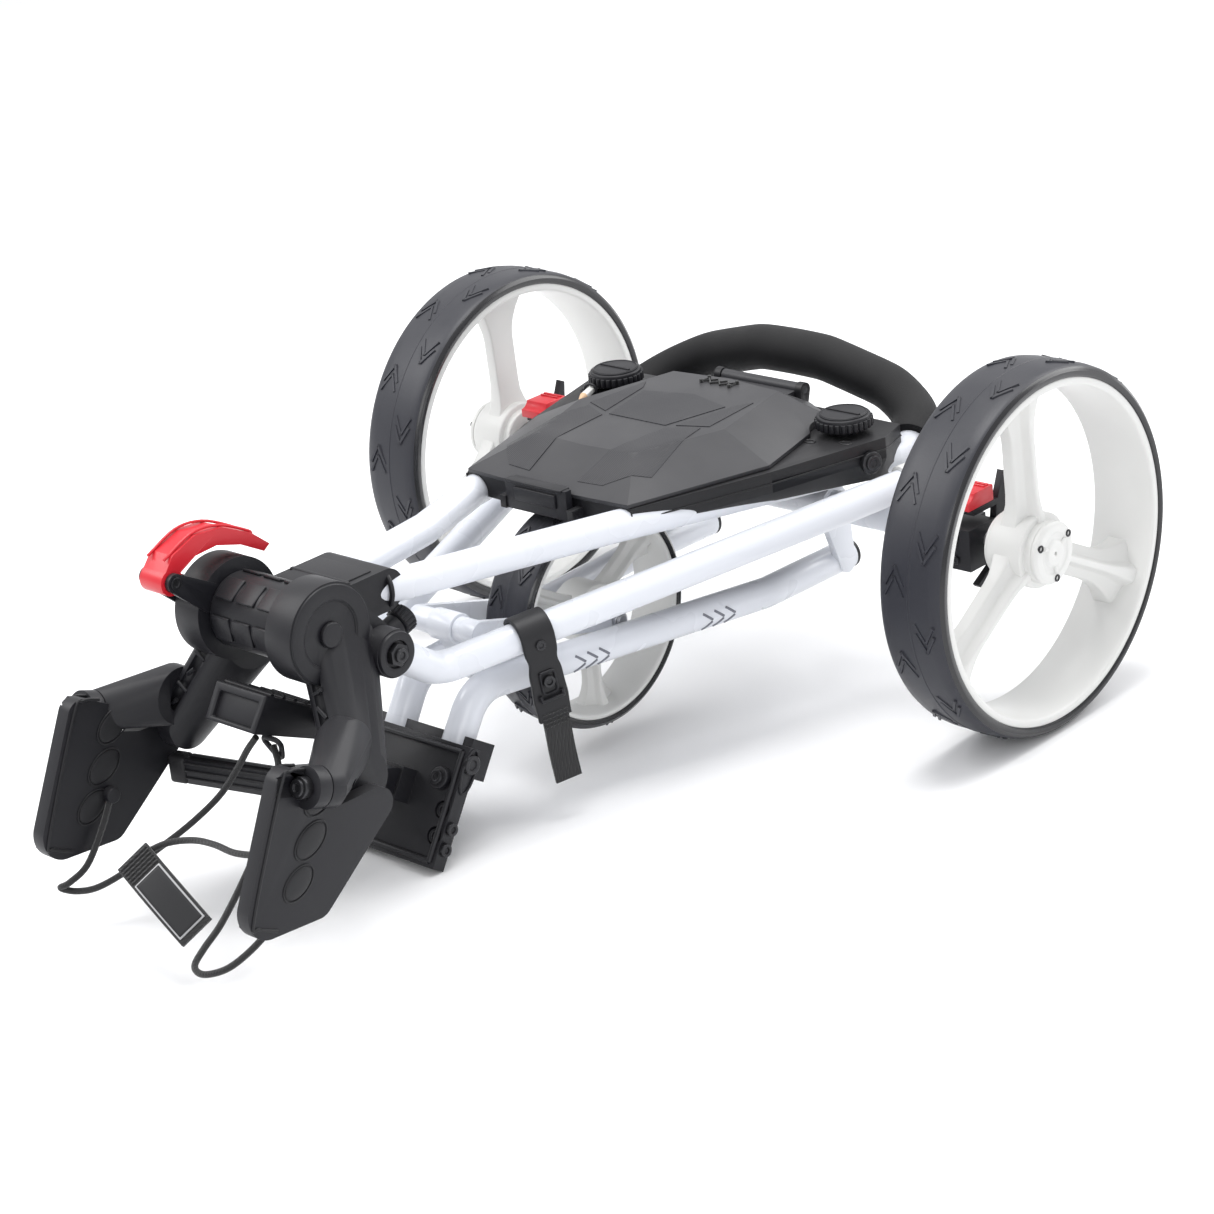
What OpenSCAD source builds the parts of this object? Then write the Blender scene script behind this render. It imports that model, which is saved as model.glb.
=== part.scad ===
// Folding three-wheel golf push trolley, shown folded flat.
// X runs across the trolley, -Y points to the bag brackets, +Y to the rear
// wheels and the handle grip, Z is up. The folded trolley rests on its two rear
// wheels and on the lower edge of the base bracket; the origin is on the
// ground, in the middle of the object's length and width.

/* [Rear wheels] */
// Outside diameter of a rear wheel
wheel_d = 296; // [260:1:330]
// Width of a rear tyre
tyre_w = 60; // [45:1:66]
// Thickness of the rear tyre's rubber
tyre_wall = 9.8; // [6:0.2:14]
// Distance between the middles of the rear wheels
track = 560; // [540:1:640]
// Diameter of the rear wheel axle stubs
axle_d = 12; // [10:0.5:14]

/* [Front wheel] */
// Outside diameter of the front wheel
front_wheel_d = 187.6; // [160:1:190]
// Width of the front tyre
front_tyre_w = 46; // [36:1:46]
// Thickness of the front tyre's rubber
front_tyre_wall = 8.8; // [6:0.2:12]
// Diameter of the front axle bolt
front_axle_d = 10; // [8:0.5:12]

/* [Frame tubes] */
// Outside diameter of the frame and handle tubes
tube_d = 25; // [22:0.5:27]
// Wall of the frame and handle tubes
tube_wall = 1.6; // [1.2:0.1:3]
// Radius of the tube bends
bend_r = 34; // [28:1:40]

/* [Handle] */
// Diameter of the foam grip
grip_d = 38; // [30:1:42]
// Diameter of the hinge barrel
barrel_d = 56; // [48:1:62]
// Length of the hinge barrel
barrel_len = 71; // [64:1:71]
// Diameter of the pin through the hinge barrel
hinge_pin_d = 16; // [12:0.5:20]

/* [Console] */
// Thickness of the console's walls
console_wall = 3; // [2:0.5:4]
// Diameter of a counter knob
knob_d = 47; // [40:1:50]
// Height of a counter knob's rim
knob_h = 11; // [8:1:14]

/* [Bag brackets] */
// Width of the base bracket plate
base_w = 124; // [110:1:130]
// Thickness of a bag arm's web
arm_web = 14; // [10:1:16]
// Diameter of a paddle's pivot screw
pivot_d = 8; // [6:0.5:10]
// Thickness of a paddle
paddle_t = 12; // [9:0.5:14]

/* [Cords] */
// Diameter of the elastic cord
cord_d = 5; // [4:0.5:6]

/* [Fits] */
// Radial clearance of a pin that turns in a bore
run_fit = 0.08; // [0.03:0.01:0.1]
// Gap between faces that move past each other
side_gap = 0.5; // [0.4:0.1:1]

/* [Hidden] */
$fn = 48;

wheel_r = wheel_d / 2;
// Sides of a tube's section; its flats lie a little inside its radius
tube_sides = 20;
flat_share = cos(180 / tube_sides);
snug_fit = 0.05;
tube_r = tube_d / 2;
wheel_x = track / 2;
// Foremost point of the paddles, in front of the rear axle
paddle_tip = [-649, 76];
paddle_tip_r = 20;
paddle_reach = paddle_tip_r - paddle_tip[0];
// Moves the axle from y = 0 so that the origin is in the middle of the length
rest_shift = (paddle_reach - wheel_r) / 2;

// Rear axle and the parts round it
axle_z = wheel_r;
axle_half = 232;
knuckle_x = 186;
knuckle_w = 26;
frame_rise = 41;
lug_x = 84;
lug_t = 6;
chassis_drop = axle_z - 94;

// Centre line of the right chassis tube, from the base bracket to the rear
chassis_route = [
    [31, -394, 60], [32, -360, 112], [76, -76, 96], [76, 26, 94]
];
// Centre line of the right frame tube, from the bag arm to the knuckle
frame_route = [
    [55, -459, 184], [40, -402, 144], [168, -41, 184],
    [knuckle_x - 3, -3, axle_z + frame_rise]
];
// Centre line of the right half of the handle, from the clamp to the middle
handle_route = [
    [16, -458, 217], [50, -318, 210], [78, -238, 209], [147, 14, 195],
    [144, 62, 207], [96, 72, 228], [34, 67, 245], [0, 66, 246]
];

handle_bend_r = 30;
// The foam grip starts at this ring of the handle, counted from the clamp
grip_start = 10;

// Folding hinges
barrel_at = [0, -517, 220];
fork_at = [0, -350, 152];
front_axle_at = [0, -205, 111];
// Cross tube that carries the fork
cross_at = [-330, 110];
cross_half = 36;
crown_r = 7;
crown_half = 13;
fork_x = 32;
fork_bar = [6, 14];

// Bag arms and paddles
arm_in = 36;
arm_out = 62;
collar_r = 38;
bolt_at = [56, -468, 189];
pivot_at = [123, -600, 151];
pivot_dir = [0, -0.94, 0.34];
paddle_x = 113;
cam_at = [-51, -570, 258];
cam_w = 24;
cam_pin_r = 4;
ear_t = 4;
// Locking screw: middle of its head's seat, direction it points, shank radius
lock_at = [26, -424, 186];
lock_dir = [0, 0.951, 0.309];
lock_r = 5;
// Peg that holds the bag strap's buckle in the right bag arm
buckle_at = [-512, 146];
buckle_end = 72;

// Base bracket: tilt of its plate, and its upper and lower edges
plate_tilt = 33.4;
plate_foot = [0, -441, 0];
plate_h = 94;
plate_t = 12;
// Depth of the counterbores that hold the plate's front screws
sunk = 4.5;
saddle_r = 60;

// Console outline, right half, from the front to the rear
tray_plan = [[0, -236], [88, -232], [130, -118], [159, -14], [150, 16], [0, 20]];
lid_plan = [[0, -238], [86, -233], [125, -114], [97, -48], [96, -4], [58, 16], [0, 20]];
lid_crown = [[0, -190], [52, -186], [78, -110], [62, -44], [56, -20], [0, -14]];
tray_top = 222;
tray_front_z = 205;
tray_rear_z = 187;
lid_crown_z = 246;
lid_hinge = [24, 232];
lid_half = 40;
lid_pin_r = 3;
knob_at = [123, -20, 227];
knob_pin_r = 6;
// Room that the lid leaves round each knob, since it swings up past them
knob_room = 4;
wheel_slot = 33;
// Latch hinge, and the underside of the tray over the folded front wheel
latch_at = [-241, 210];
latch_pin_r = 2.5;
slot_top = 213;

// Elastic cords: points of each cord's centre line
cord_left = [
    [-104, -606, 90], [-100, -622, 70], [-100, -640, 48], [-106, -654, 38],
    [-112, -658, 34], [-104, -650, 30], [-90, -640, 33], [-74, -622, 44],
    [-58, -604, 58], [-42, -584, 74], [-28, -566, 92], [-16, -556, 112],
    [-6, -552, 128], [4, -550, 140]
];
cord_right = [
    [104, -620, 70], [98, -638, 50], [92, -654, 38], [84, -668, 30],
    [70, -677, 26], [60, -676, 29], [57, -664, 36], [58, -648, 47],
    [58, -630, 63], [57, -610, 82], [56, -592, 100], [50, -574, 118],
    [40, -562, 132], [30, -556, 142]
];
cord_tag = [
    [-26.5, -641.6, 78], [-14, -628, 84], [6, -620, 88], [28, -619, 90],
    [50, -620, 90], [72, -618, 93], [94, -614, 96]
];
// Hanging tag: middle of its upper end, the way it runs and its thickness
tag_at = [-30, -648, 77];
tag_way = unit([70, -6, -38]);
tag_face = unit(cross(tag_way, [12.2, 21.3, 15.8]));
tag_wide = cross(tag_face, tag_way);
tag_t = 4;
tag_plan = [[0, -14], [80, -14], [80, 14], [0, 14]];

// ---------------------------------------------------------------- helpers

function unit(v) = v / norm(v);
function mirrored_plan(half) = concat(
    half, [for (i = [len(half) - 1:-1:0]) if (half[i][0] > 0) [-half[i][0], half[i][1]]]
);

// Moves a shape from the axle's frame to the object's own frame
module placed() translate([0, rest_shift, 0]) children();

// Draws the right-hand shape on the chosen side, 1 right or -1 left
module side(s) {
    if (s > 0) children();
    else mirror([1, 0, 0]) children();
}

// Points +Z of a shape from p towards q
module aim(p, q) {
    v = q - p;
    translate(p) rotate([0, acos(v[2] / norm(v)), atan2(v[1], v[0])]) children();
}

// Straight round bar between two points
module bar(p, q, r) aim(p, q) cylinder(h = norm(q - p), r = r);

// Round bar along X, centred on y and z
module bar_x(x0, x1, at, r) translate([x0, at[0], at[1]]) rotate([0, 90, 0]) cylinder(h = x1 - x0, r = r);

// Ring along X
module ring_x(x0, x1, at, r_out, r_in) difference() {
    bar_x(x0, x1, at, r_out);
    bar_x(x0 - 1, x1 + 1, at, r_in);
}

// Ring of points round p, square to dir; up fixes where the ring starts
function ring_at(p, dir, up, r, sides) =
    let (z = unit(dir), x = unit(cross(z, up)), y = cross(z, x))
    [for (k = [0:sides - 1]) p + r * (x * cos(360 * k / sides) + y * sin(360 * k / sides))];

// Rings [point, direction] round the bend at b between the legs a-b and b-c
function bend_rings(a, b, c, bend) =
    let (
        u = unit(a - b), w = unit(c - b), half = acos(u * w) / 2, turn = 180 - 2 * half,
        centre = b + unit(u + w) * bend / sin(half),
        ex = unit(b + u * bend / tan(half) - centre), ey = -u, steps = ceil(turn / 14)
    )
    [for (i = [0:steps]) let (t = turn * i / steps)
        [centre + bend * (ex * cos(t) + ey * sin(t)), ey * cos(t) - ex * sin(t)]];

// Rings [point, direction] along a route with a round bend at each inner point
function route_rings(route, bend) = let (n = len(route)) concat(
    [[route[0], route[1] - route[0]]],
    [for (i = [1:n - 2]) for (ring = bend_rings(route[i - 1], route[i], route[i + 1], bend)) ring],
    [[route[n - 1], route[n - 1] - route[n - 2]]]
);

function skin(n, sides, from) = [for (i = [0:n - 2]) for (k = [0:sides - 1]) [
    from + i * sides + k, from + (i + 1) * sides + k,
    from + (i + 1) * sides + (k + 1) % sides, from + i * sides + (k + 1) % sides
]];
function backwards(face) = [for (i = [len(face) - 1:-1:0]) face[i]];

// Round tube through a list of rings
module tube_through(rings, r_out, r_in, sides = tube_sides) {
    n = len(rings);
    up = [0, 0, 1];
    points = concat(
        [for (ring = rings) for (p = ring_at(ring[0], ring[1], up, r_out, sides)) p],
        [for (ring = rings) for (p = ring_at(ring[0], ring[1], up, r_in, sides)) p]
    );
    inner = n * sides;
    ends = [for (k = [0:sides - 1]) let (j = (k + 1) % sides) [k, j, inner + j, inner + k]];
    last = (n - 1) * sides;
    polyhedron(points, concat(
        skin(n, sides, 0), [for (face = skin(n, sides, inner)) backwards(face)],
        ends, [for (face = ends) backwards([for (v = face) v + last])]
    ));
}

module bent_tube(route, bend, r_out, r_in) tube_through(route_rings(route, bend), r_out, r_in);

// Flexible cord: one closed skin swept along a route
module cord(route, r) {
    sides = 8;
    n = len(route);
    points = [for (i = [0:n - 1])
        for (p = ring_at(route[i], route[min(i + 1, n - 1)] - route[max(i - 1, 0)], [1, -1, 0.3], r, sides)) p];
    polyhedron(points, concat(
        [[for (k = [0:sides - 1]) k]], skin(n, sides, 0), [[for (k = [sides - 1:-1:0]) (n - 1) * sides + k]]
    ));
}

// ---------------------------------------------------------------- chassis

module axle_tube() color("white") placed() {
    ring_x(-axle_half, axle_half, [0, axle_z], tube_r, tube_r - tube_wall);
    for (s = [-1, 1]) side(s) difference() {
        translate([lug_x, 0, 0]) rotate([90, 0, 90]) linear_extrude(lug_t) hull() {
            translate([0, axle_z]) circle(tube_r + 4);
            translate([12, axle_z - chassis_drop]) circle(9);
        }
        bar_x(lug_x - 1, lug_x + lug_t + 1, [0, axle_z], tube_r);
        bar(chassis_route[2], chassis_route[3], tube_r);
    }
}

module chassis_tube(s) color("white") placed() side(s) bent_tube(chassis_route, bend_r, tube_r, tube_r - tube_wall);

module tube_plugs() color([0.08, 0.08, 0.09]) placed() for (s = [-1, 1]) side(s) {
    end = chassis_route[3];
    way = unit(end - chassis_route[2]);
    bar(end, end + way * 4, tube_r);
    bar(end - way * 14, end, (tube_r - tube_wall) * flat_share - 2 * snug_fit);
}

module fork_bracket() color("white") placed() difference() {
    union() {
        bar_x(-cross_half, cross_half, cross_at, 9);
        bar_x(-crown_half + side_gap, crown_half - side_gap, [fork_at[1], fork_at[2]], crown_r + 5);
        hull() {
            bar_x(-8, 8, cross_at, 7);
            bar_x(-8, 8, [fork_at[1], fork_at[2]], 9);
        }
    }
    bar_x(-crown_half, crown_half, [fork_at[1], fork_at[2]], crown_r + run_fit);
    for (s = [-1, 1]) side(s) bar(chassis_route[1], chassis_route[2], tube_r);
}

// Draws in the plate's own frame: X across, Z up the plate, -Y out of its front
module on_plate() translate(plate_foot) rotate([-plate_tilt, 0, 0]) children();

module base_bracket() color([0.13, 0.13, 0.15]) placed() difference() {
    on_plate() union() {
        difference() {
            translate([-base_w / 2, -plate_t, 0]) cube([base_w, plate_t, plate_h]);
            translate([0, 0, plate_h * 0.4]) rotate([90, 0, 0])
                translate([0, saddle_r * 0.42, -1]) linear_extrude(plate_t - 4)
                    intersection() {
                        circle(saddle_r * 0.66);
                        translate([0, -saddle_r * 0.42]) square([base_w, saddle_r * 0.66], center = true);
                    }
        }
        translate([-base_w / 2 + 10, 0, plate_h - 22]) cube([base_w - 20, 24, 29]);
        translate([-18, -plate_t - 16, 40]) cube([36, 16, 26]);
    }
    for (s = [-1, 1]) side(s) {
        bar(chassis_route[0], chassis_route[1], tube_r);
        on_plate() at_screws() cylinder(h = 2 * sunk, r = 7);
    }
}

// Places something at each of the plate's front screws, pointing out of the plate
module at_screws() for (h = [24, 44]) translate([base_w / 2 - 9, sunk - plate_t, h]) rotate([90, 0, 0]) children();

module base_screws() color([0.08, 0.08, 0.09]) placed() on_plate() for (s = [-1, 1]) side(s) {
    translate([base_w / 2, -plate_t / 2, plate_h]) rotate([0, 90, 0]) cylinder(h = 5, r = 6);
    at_screws() cylinder(h = sunk - 0.5, r = 6.5);
}

module cradle_bar() color([0.14, 0.14, 0.16]) placed() {
    hull() {
        on_plate() translate([-16, -plate_t - 20, 44]) cube([32, 4, 20]);
        translate([-16, -520, 82]) cube([32, 6, 16]);
    }
    for (s = [-1, 1]) side(s) translate([0, -520, 79]) rotate([0, 0, -14]) translate([0, -6, 0]) cube([92, 12, 20]);
}

module cradle_tips() color([0.06, 0.06, 0.07]) placed() for (s = [-1, 1]) side(s)
    translate([0, -520, 79]) rotate([0, 0, -14]) translate([92, -7, -1]) cube([16, 14, 22]);

module axle_stubs() color("silver") placed() for (s = [-1, 1]) side(s) {
    bar_x(axle_half - 40, wheel_x + tyre_w / 2 - 12, [0, axle_z], axle_d / 2);
    ring_x(axle_half - 30, axle_half, [0, axle_z], tube_r - tube_wall, axle_d / 2);
}

// ---------------------------------------------------------------- brakes

brake_x = wheel_x - tyre_w / 2 - 34;
brake_pin = [22, axle_z];
brake_pin_r = 4;

module brake_housing(s) color([0.1, 0.1, 0.11]) placed() side(s) difference() {
    union() {
        translate([brake_x, -24, axle_z - 20]) cube([28, 34, 34]);
        for (x = [0, 14]) translate([brake_x + x, 9, axle_z - 8]) cube([4, 20, 16]);
    }
    bar_x(brake_x - 1, axle_half, [0, axle_z], tube_r);
    bar_x(axle_half - 1, brake_x + 40, [0, axle_z], axle_d / 2);
    bar_x(brake_x - 1, brake_x + 40, brake_pin, brake_pin_r + run_fit);
}

module brake_lever(s) color([0.08, 0.08, 0.09]) placed() side(s) {
    bar_x(brake_x - 1, brake_x + 22, brake_pin, brake_pin_r);
    translate([brake_x + 20, 0, axle_z]) rotate([90, 0, 90]) linear_extrude(6) polygon([
        [26, 10], [30, 46], [26, 48], [15, 22], [13, 10], [12.5, -21], [-13, -35], [-10, -38], [17, -26], [25, -6]
    ]);
    translate([brake_x + 2, -14, axle_z + 23]) cube([24, 31, 5]);
}

module brake_pedal(s) color("red") placed() side(s) translate([brake_x + 2, -20, axle_z + 28]) difference() {
    cube([24, 32, 13]);
    translate([-1, 0, 15]) rotate([0, 90, 0]) cylinder(h = 26, r = 8);
}

// ---------------------------------------------------------------- rear wheels

hub_r = 25;
bearing_w = 8;
bearing_r = 14;
hub_half = 22;
rim_r = wheel_r - tyre_wall;
rim_wall = 8;
spoke_angles = [92, 212, 332];

// Tapered spoke in the wheel's plane, along +X of the sketch
module spoke_plan(length, root, tip) polygon([[0, -root], [length, -tip], [length, tip], [0, root]]);

module rim_body(r_rim, wall, half, hub, hub_len, plate, angles, bore, seat_r, seat_w) difference() {
    union() {
        rotate_extrude($fn = 96) polygon([
            [r_rim - wall, -half], [r_rim, -half], [r_rim, half], [r_rim - wall, half],
            [r_rim - wall - 2, half - 4], [r_rim - wall - 2, -half + 4]
        ]);
        cylinder(h = 2 * hub_len, r = hub, center = true);
        for (a = angles) rotate([0, 0, a]) {
            translate([0, 0, -plate / 2]) linear_extrude(plate) spoke_plan(r_rim - wall, hub * 0.6, r_rim * 0.18);
            translate([0, -5, plate / 2 - 1]) cube([r_rim - wall, 10, 9]);
        }
    }
    cylinder(h = 3 * hub_len, r = bore, center = true);
    for (m = [0, 1]) mirror([0, 0, m]) translate([0, 0, hub_len - seat_w]) cylinder(h = seat_w + 1, r = seat_r);
}

// Wheel frame: +Z of the wheel becomes +X, its spoke angles count from +Y
module on_wheel(at) translate(at) rotate([90, 0, 90]) children();

module rear_rim(s) color("white") placed() side(s) on_wheel([wheel_x, 0, axle_z])
    rim_body(rim_r, rim_wall, tyre_w / 2 - 1.5, hub_r, hub_half, 16, spoke_angles, axle_d / 2 + 2, bearing_r, bearing_w);

module tyre_body(r, r_rim, half) rotate_extrude($fn = 96) polygon([
    [r_rim, -half + 1.5], [r_rim, -half], [r - 5, -half], [r - 1.5, -half + 6], [r, -half + 14],
    [r, half - 14], [r - 1.5, half - 6], [r - 5, half], [r_rim, half], [r_rim, half - 1.5]
]);

module rear_tyre(s) color([0.1, 0.1, 0.12]) placed() side(s) on_wheel([wheel_x, 0, axle_z])
    tyre_body(wheel_r, rim_r, tyre_w / 2);

module hub_cap(s) color("white") placed() side(s) on_wheel([wheel_x + hub_half, 0, axle_z]) {
    cylinder(h = 5, r = hub_r);
    translate([0, 0, 5]) cylinder(h = 2, r = hub_r - 7);
}

module wheel_bearings(s) color("silver") placed() side(s) on_wheel([wheel_x, 0, axle_z])
    for (m = [0, 1]) mirror([0, 0, m]) translate([0, 0, hub_half - bearing_w]) difference() {
        cylinder(h = bearing_w, r = bearing_r);
        translate([0, 0, -1]) cylinder(h = bearing_w + 2, r = axle_d / 2 + run_fit);
    }

// ---------------------------------------------------------------- front wheel

front_r = front_wheel_d / 2;
front_rim_r = front_r - front_tyre_wall;
front_hub_half = 20;

module front_fork() color("white") placed() difference() {
    union() {
        bar_x(-crown_half, crown_half, [fork_at[1], fork_at[2]], crown_r);
        for (s = [-1, 1]) side(s) {
            bar_x(crown_half, fork_x + fork_bar[0] / 2, [fork_at[1], fork_at[2]], crown_r + 3);
            translate([fork_x - fork_bar[0] / 2, 0, 0]) rotate([90, 0, 90]) linear_extrude(fork_bar[0]) hull() {
                translate([fork_at[1], fork_at[2]]) circle(crown_r + 3);
                translate([front_axle_at[1], front_axle_at[2]]) circle(fork_bar[1] / 2);
            }
        }
    }
    bar_x(-60, 60, [front_axle_at[1], front_axle_at[2]], front_axle_d / 2);
}

module front_axle() color("silver") placed() {
    at = [front_axle_at[1], front_axle_at[2]];
    bar_x(-fork_x - 9, fork_x + 9, at, front_axle_d / 2);
    for (s = [-1, 1]) side(s) {
        ring_x(fork_x + fork_bar[0] / 2, fork_x + fork_bar[0] / 2 + 4, at, 7, front_axle_d / 2);
        ring_x(front_hub_half + side_gap, fork_x - fork_bar[0] / 2, at, 8, front_axle_d / 2);
    }
}

module front_rim() color("white") placed() on_wheel(front_axle_at)
    rim_body(front_rim_r, 6, front_tyre_w / 2 - 1.5, 20, front_hub_half, 14, [30, 150, 270], front_axle_d / 2 + 2, 11, 7);

module front_tyre() color([0.1, 0.1, 0.12]) placed() on_wheel(front_axle_at) tyre_body(front_r, front_rim_r, front_tyre_w / 2);

module front_bearings() color("silver") placed() on_wheel(front_axle_at)
    for (m = [0, 1]) mirror([0, 0, m]) translate([0, 0, front_hub_half - 7]) difference() {
        cylinder(h = 7, r = 11);
        translate([0, 0, -1]) cylinder(h = 9, r = front_axle_d / 2 + run_fit);
    }

// ---------------------------------------------------------------- upper frame

module frame_tube(s) color("white") placed() side(s) bent_tube(frame_route, bend_r, tube_r, tube_r - tube_wall);

module frame_knuckles() color([0.9, 0.9, 0.9]) placed() for (s = [-1, 1]) side(s) {
    tip = frame_route[3];
    difference() {
        union() {
            bar_x(knuckle_x - knuckle_w / 2, knuckle_x + knuckle_w / 2, [0, axle_z], tube_r + 6);
            translate([knuckle_x - knuckle_w / 2, -12, axle_z]) cube([knuckle_w, 24, frame_rise - 8]);
            bar(tip - [5, 17, 1.6], tip + [3, 10.4, 1], tube_r + 3);
        }
        bar_x(knuckle_x - 30, knuckle_x + 30, [0, axle_z], tube_r + run_fit);
        bar(frame_route[2], tip, tube_r);
    }
}

// Two ears that hold the cam lever's pin, drawn on the right
module cam_ears() for (x = [-cam_w / 2 - side_gap - ear_t, cam_w / 2 + side_gap]) hull() {
    bar_x(x - cam_at[0], x - cam_at[0] + ear_t, [cam_at[1], cam_at[2]], 7);
    bar_x(x - cam_at[0], x - cam_at[0] + ear_t, [-540, 236], 11);
}

// Boss that holds the locking screw
module screw_boss() {
    bar(lock_at - lock_dir * 15, lock_at - lock_dir * side_gap, 9);
    hull() {
        bar(lock_at - lock_dir * 15, lock_at - lock_dir * 8, 7);
        bar_x(arm_in + 4, arm_in + 12, [-460, 186], 7);
    }
}

module bag_arm(s) color([0.14, 0.14, 0.16]) placed() side(s) difference() {
    union() {
        if (s < 0) {
            cam_ears();
            bar_x(arm_in, arm_out + ear_t, [-540, 236], 10);
        } else screw_boss();
        bar_x(arm_in, arm_out, [barrel_at[1], barrel_at[2]], collar_r);
        bar_x(arm_in + 4, arm_out + 10, [bolt_at[1], bolt_at[2]], 18);
        hull() {
            bar_x(arm_in + 6, arm_in + 6 + arm_web, [barrel_at[1], barrel_at[2]], collar_r - 4);
            bar_x(arm_in + 6, arm_in + 6 + arm_web, [bolt_at[1], bolt_at[2]], 18);
        }
        hull() {
            bar_x(arm_in + 6, arm_in + 6 + arm_web, [-500, 196], 30);
            bar_x(88, 88 + arm_web, [-536, 125], 21);
        }
        hull() {
            bar_x(84, 84 + arm_web, [-544, 150], 22);
            bar(pivot_at - pivot_dir * 17, pivot_at - pivot_dir * 5, 15);
        }
    }
    bar_x(0, 100, [barrel_at[1], barrel_at[2]], hinge_pin_d / 2);
    bar_x(0, arm_in, [barrel_at[1], barrel_at[2]], barrel_d / 2 + side_gap);
    bar_x(0, 100, [bolt_at[1], bolt_at[2]], 5);
    bar(pivot_at - pivot_dir * 40, pivot_at + pivot_dir * 10, pivot_d / 2);
    if (s < 0) bar_x(0, 100, [cam_at[1], cam_at[2]], cam_pin_r);
    else {
        bar(lock_at - lock_dir * 30, lock_at, lock_r + run_fit);
        bar_x(arm_in, buckle_end, buckle_at, 6);
    }
    bar(frame_route[1], frame_route[0] + (frame_route[0] - frame_route[1]) * 0.02, tube_r);
}

module hinge_pin() color("silver") placed() bar_x(-arm_out - 2, arm_out + 2, [barrel_at[1], barrel_at[2]], hinge_pin_d / 2);

module frame_bolts() color([0.1, 0.1, 0.11]) placed() for (s = [-1, 1]) side(s) {
    bar_x(arm_in + 2, arm_out + 10, [bolt_at[1], bolt_at[2]], 5);
    translate([arm_out + 10, bolt_at[1], bolt_at[2]]) rotate([0, 90, 0]) cylinder(h = 5, r = 9, $fn = 6);
}

module paddle_pins() color([0.1, 0.1, 0.11]) placed() for (s = [-1, 1]) side(s) {
    bar(pivot_at - pivot_dir * 17, pivot_at + pivot_dir * 12, pivot_d / 2);
    bar(pivot_at + pivot_dir * (paddle_t / 2 + side_gap + 1), pivot_at + pivot_dir * 14, 8);
}

module paddle(s) color([0.15, 0.15, 0.18]) placed() side(s) difference() {
    union() {
        translate([paddle_x - paddle_t / 2, 0, 0]) rotate([90, 0, 90]) linear_extrude(paddle_t) hull() {
            translate(paddle_tip) circle(paddle_tip_r);
            translate([-618, 158]) circle(12);
            translate([-540, 112]) circle(12);
            translate([-606, 66]) circle(14);
        }
        bar(pivot_at - pivot_dir * 4, pivot_at + pivot_dir * (paddle_t / 2 + 1), 15);
    }
    bar(pivot_at - pivot_dir * 30, pivot_at + pivot_dir * 30, pivot_d / 2 + run_fit);
    bar(pivot_at + pivot_dir * (paddle_t / 2 + 1), pivot_at + pivot_dir * 30, 8 + side_gap);
    hull() {
        bar_x(84 - side_gap, 84 + arm_web + side_gap + 40, [-540, 152], 27);
        bar(pivot_at - pivot_dir * 24, pivot_at - pivot_dir * 4.4, 17);
    }
}

module cam_pin() color("silver") placed() bar_x(cam_at[0] - cam_w / 2 - side_gap - ear_t, cam_at[0] + cam_w / 2 + side_gap + ear_t, [cam_at[1], cam_at[2]], cam_pin_r);

module cam_lever() color("red") placed() translate([cam_at[0] - cam_w / 2, 0, 0]) difference() {
    rotate([90, 0, 90]) linear_extrude(cam_w) difference() {
        union() {
            translate([cam_at[1], cam_at[2]]) circle(10);
            polygon([
                [-579, 262], [-566, 277], [-544, 285], [-520, 283], [-494, 270], [-478, 256], [-484, 252],
                [-504, 264], [-526, 271], [-546, 270], [-562, 262], [-564, 250]
            ]);
        }
        translate([barrel_at[1], barrel_at[2]]) circle(collar_r + side_gap);
    }
    translate([-1, cam_at[1], cam_at[2]]) rotate([0, 90, 0]) cylinder(h = cam_w + 2, r = cam_pin_r + run_fit);
}

module lock_knob() color([0.07, 0.07, 0.08]) placed() {
    bar(lock_at, lock_at + lock_dir * 12, 11);
    bar(lock_at - lock_dir * 14, lock_at, lock_r);
}

module buckle() color([0.12, 0.12, 0.14]) placed() {
    bar_x(30, buckle_end, buckle_at, 6);
    difference() {
        translate([-20, 0, 0]) rotate([90, 0, 90]) linear_extrude(54) polygon([[-575, 159], [-559, 183], [-500, 149], [-506, 127]]);
        translate([-14, 0, 0]) rotate([90, 0, 90]) linear_extrude(42) polygon([[-577, 163], [-566, 180], [-538, 164], [-545, 150]]);
    }
}

// ---------------------------------------------------------------- release strap

strap_share = 0.2;
strap_at = frame_route[1] + (frame_route[2] - frame_route[1]) * strap_share;
strap_axis = unit(frame_route[2] - frame_route[1]);
strap_out = unit(cross(strap_axis, [0, 0, 1]));
strap_down = cross(strap_axis, strap_out);
strap_w = 28;
strap_t = 4;
strap_drop = 66;

// Frame on the right frame tube: X outwards, Y down, Z along the tube
module on_strap() multmatrix([
    [strap_out[0], strap_down[0], strap_axis[0], strap_at[0]],
    [strap_out[1], strap_down[1], strap_axis[1], strap_at[1]],
    [strap_out[2], strap_down[2], strap_axis[2], strap_at[2]],
    [0, 0, 0, 1]
]) children();

module release_strap() color([0.09, 0.09, 0.1]) placed() on_strap() {
    inside = tube_r + side_gap;
    outside = inside + strap_t;
    translate([0, 0, -strap_w / 2]) linear_extrude(strap_w) polygon(concat(
        [for (a = [-150:6:0]) outside * [cos(a), sin(a)]], [[outside, strap_drop], [inside, strap_drop]],
        [for (a = [0:-6:-150]) inside * [cos(a), sin(a)]]
    ));
}

module strap_tab() color([0.07, 0.07, 0.08]) placed() on_strap()
    translate([tube_r + side_gap + 1, strap_drop, 3 - strap_w / 2]) cube([2, 52, strap_w - 6]);

// ---------------------------------------------------------------- handle

module hinge_barrel() color([0.15, 0.15, 0.18]) placed()
    ring_x(-barrel_len / 2, barrel_len / 2, [barrel_at[1], barrel_at[2]], barrel_d / 2, hinge_pin_d / 2 + run_fit);

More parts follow.
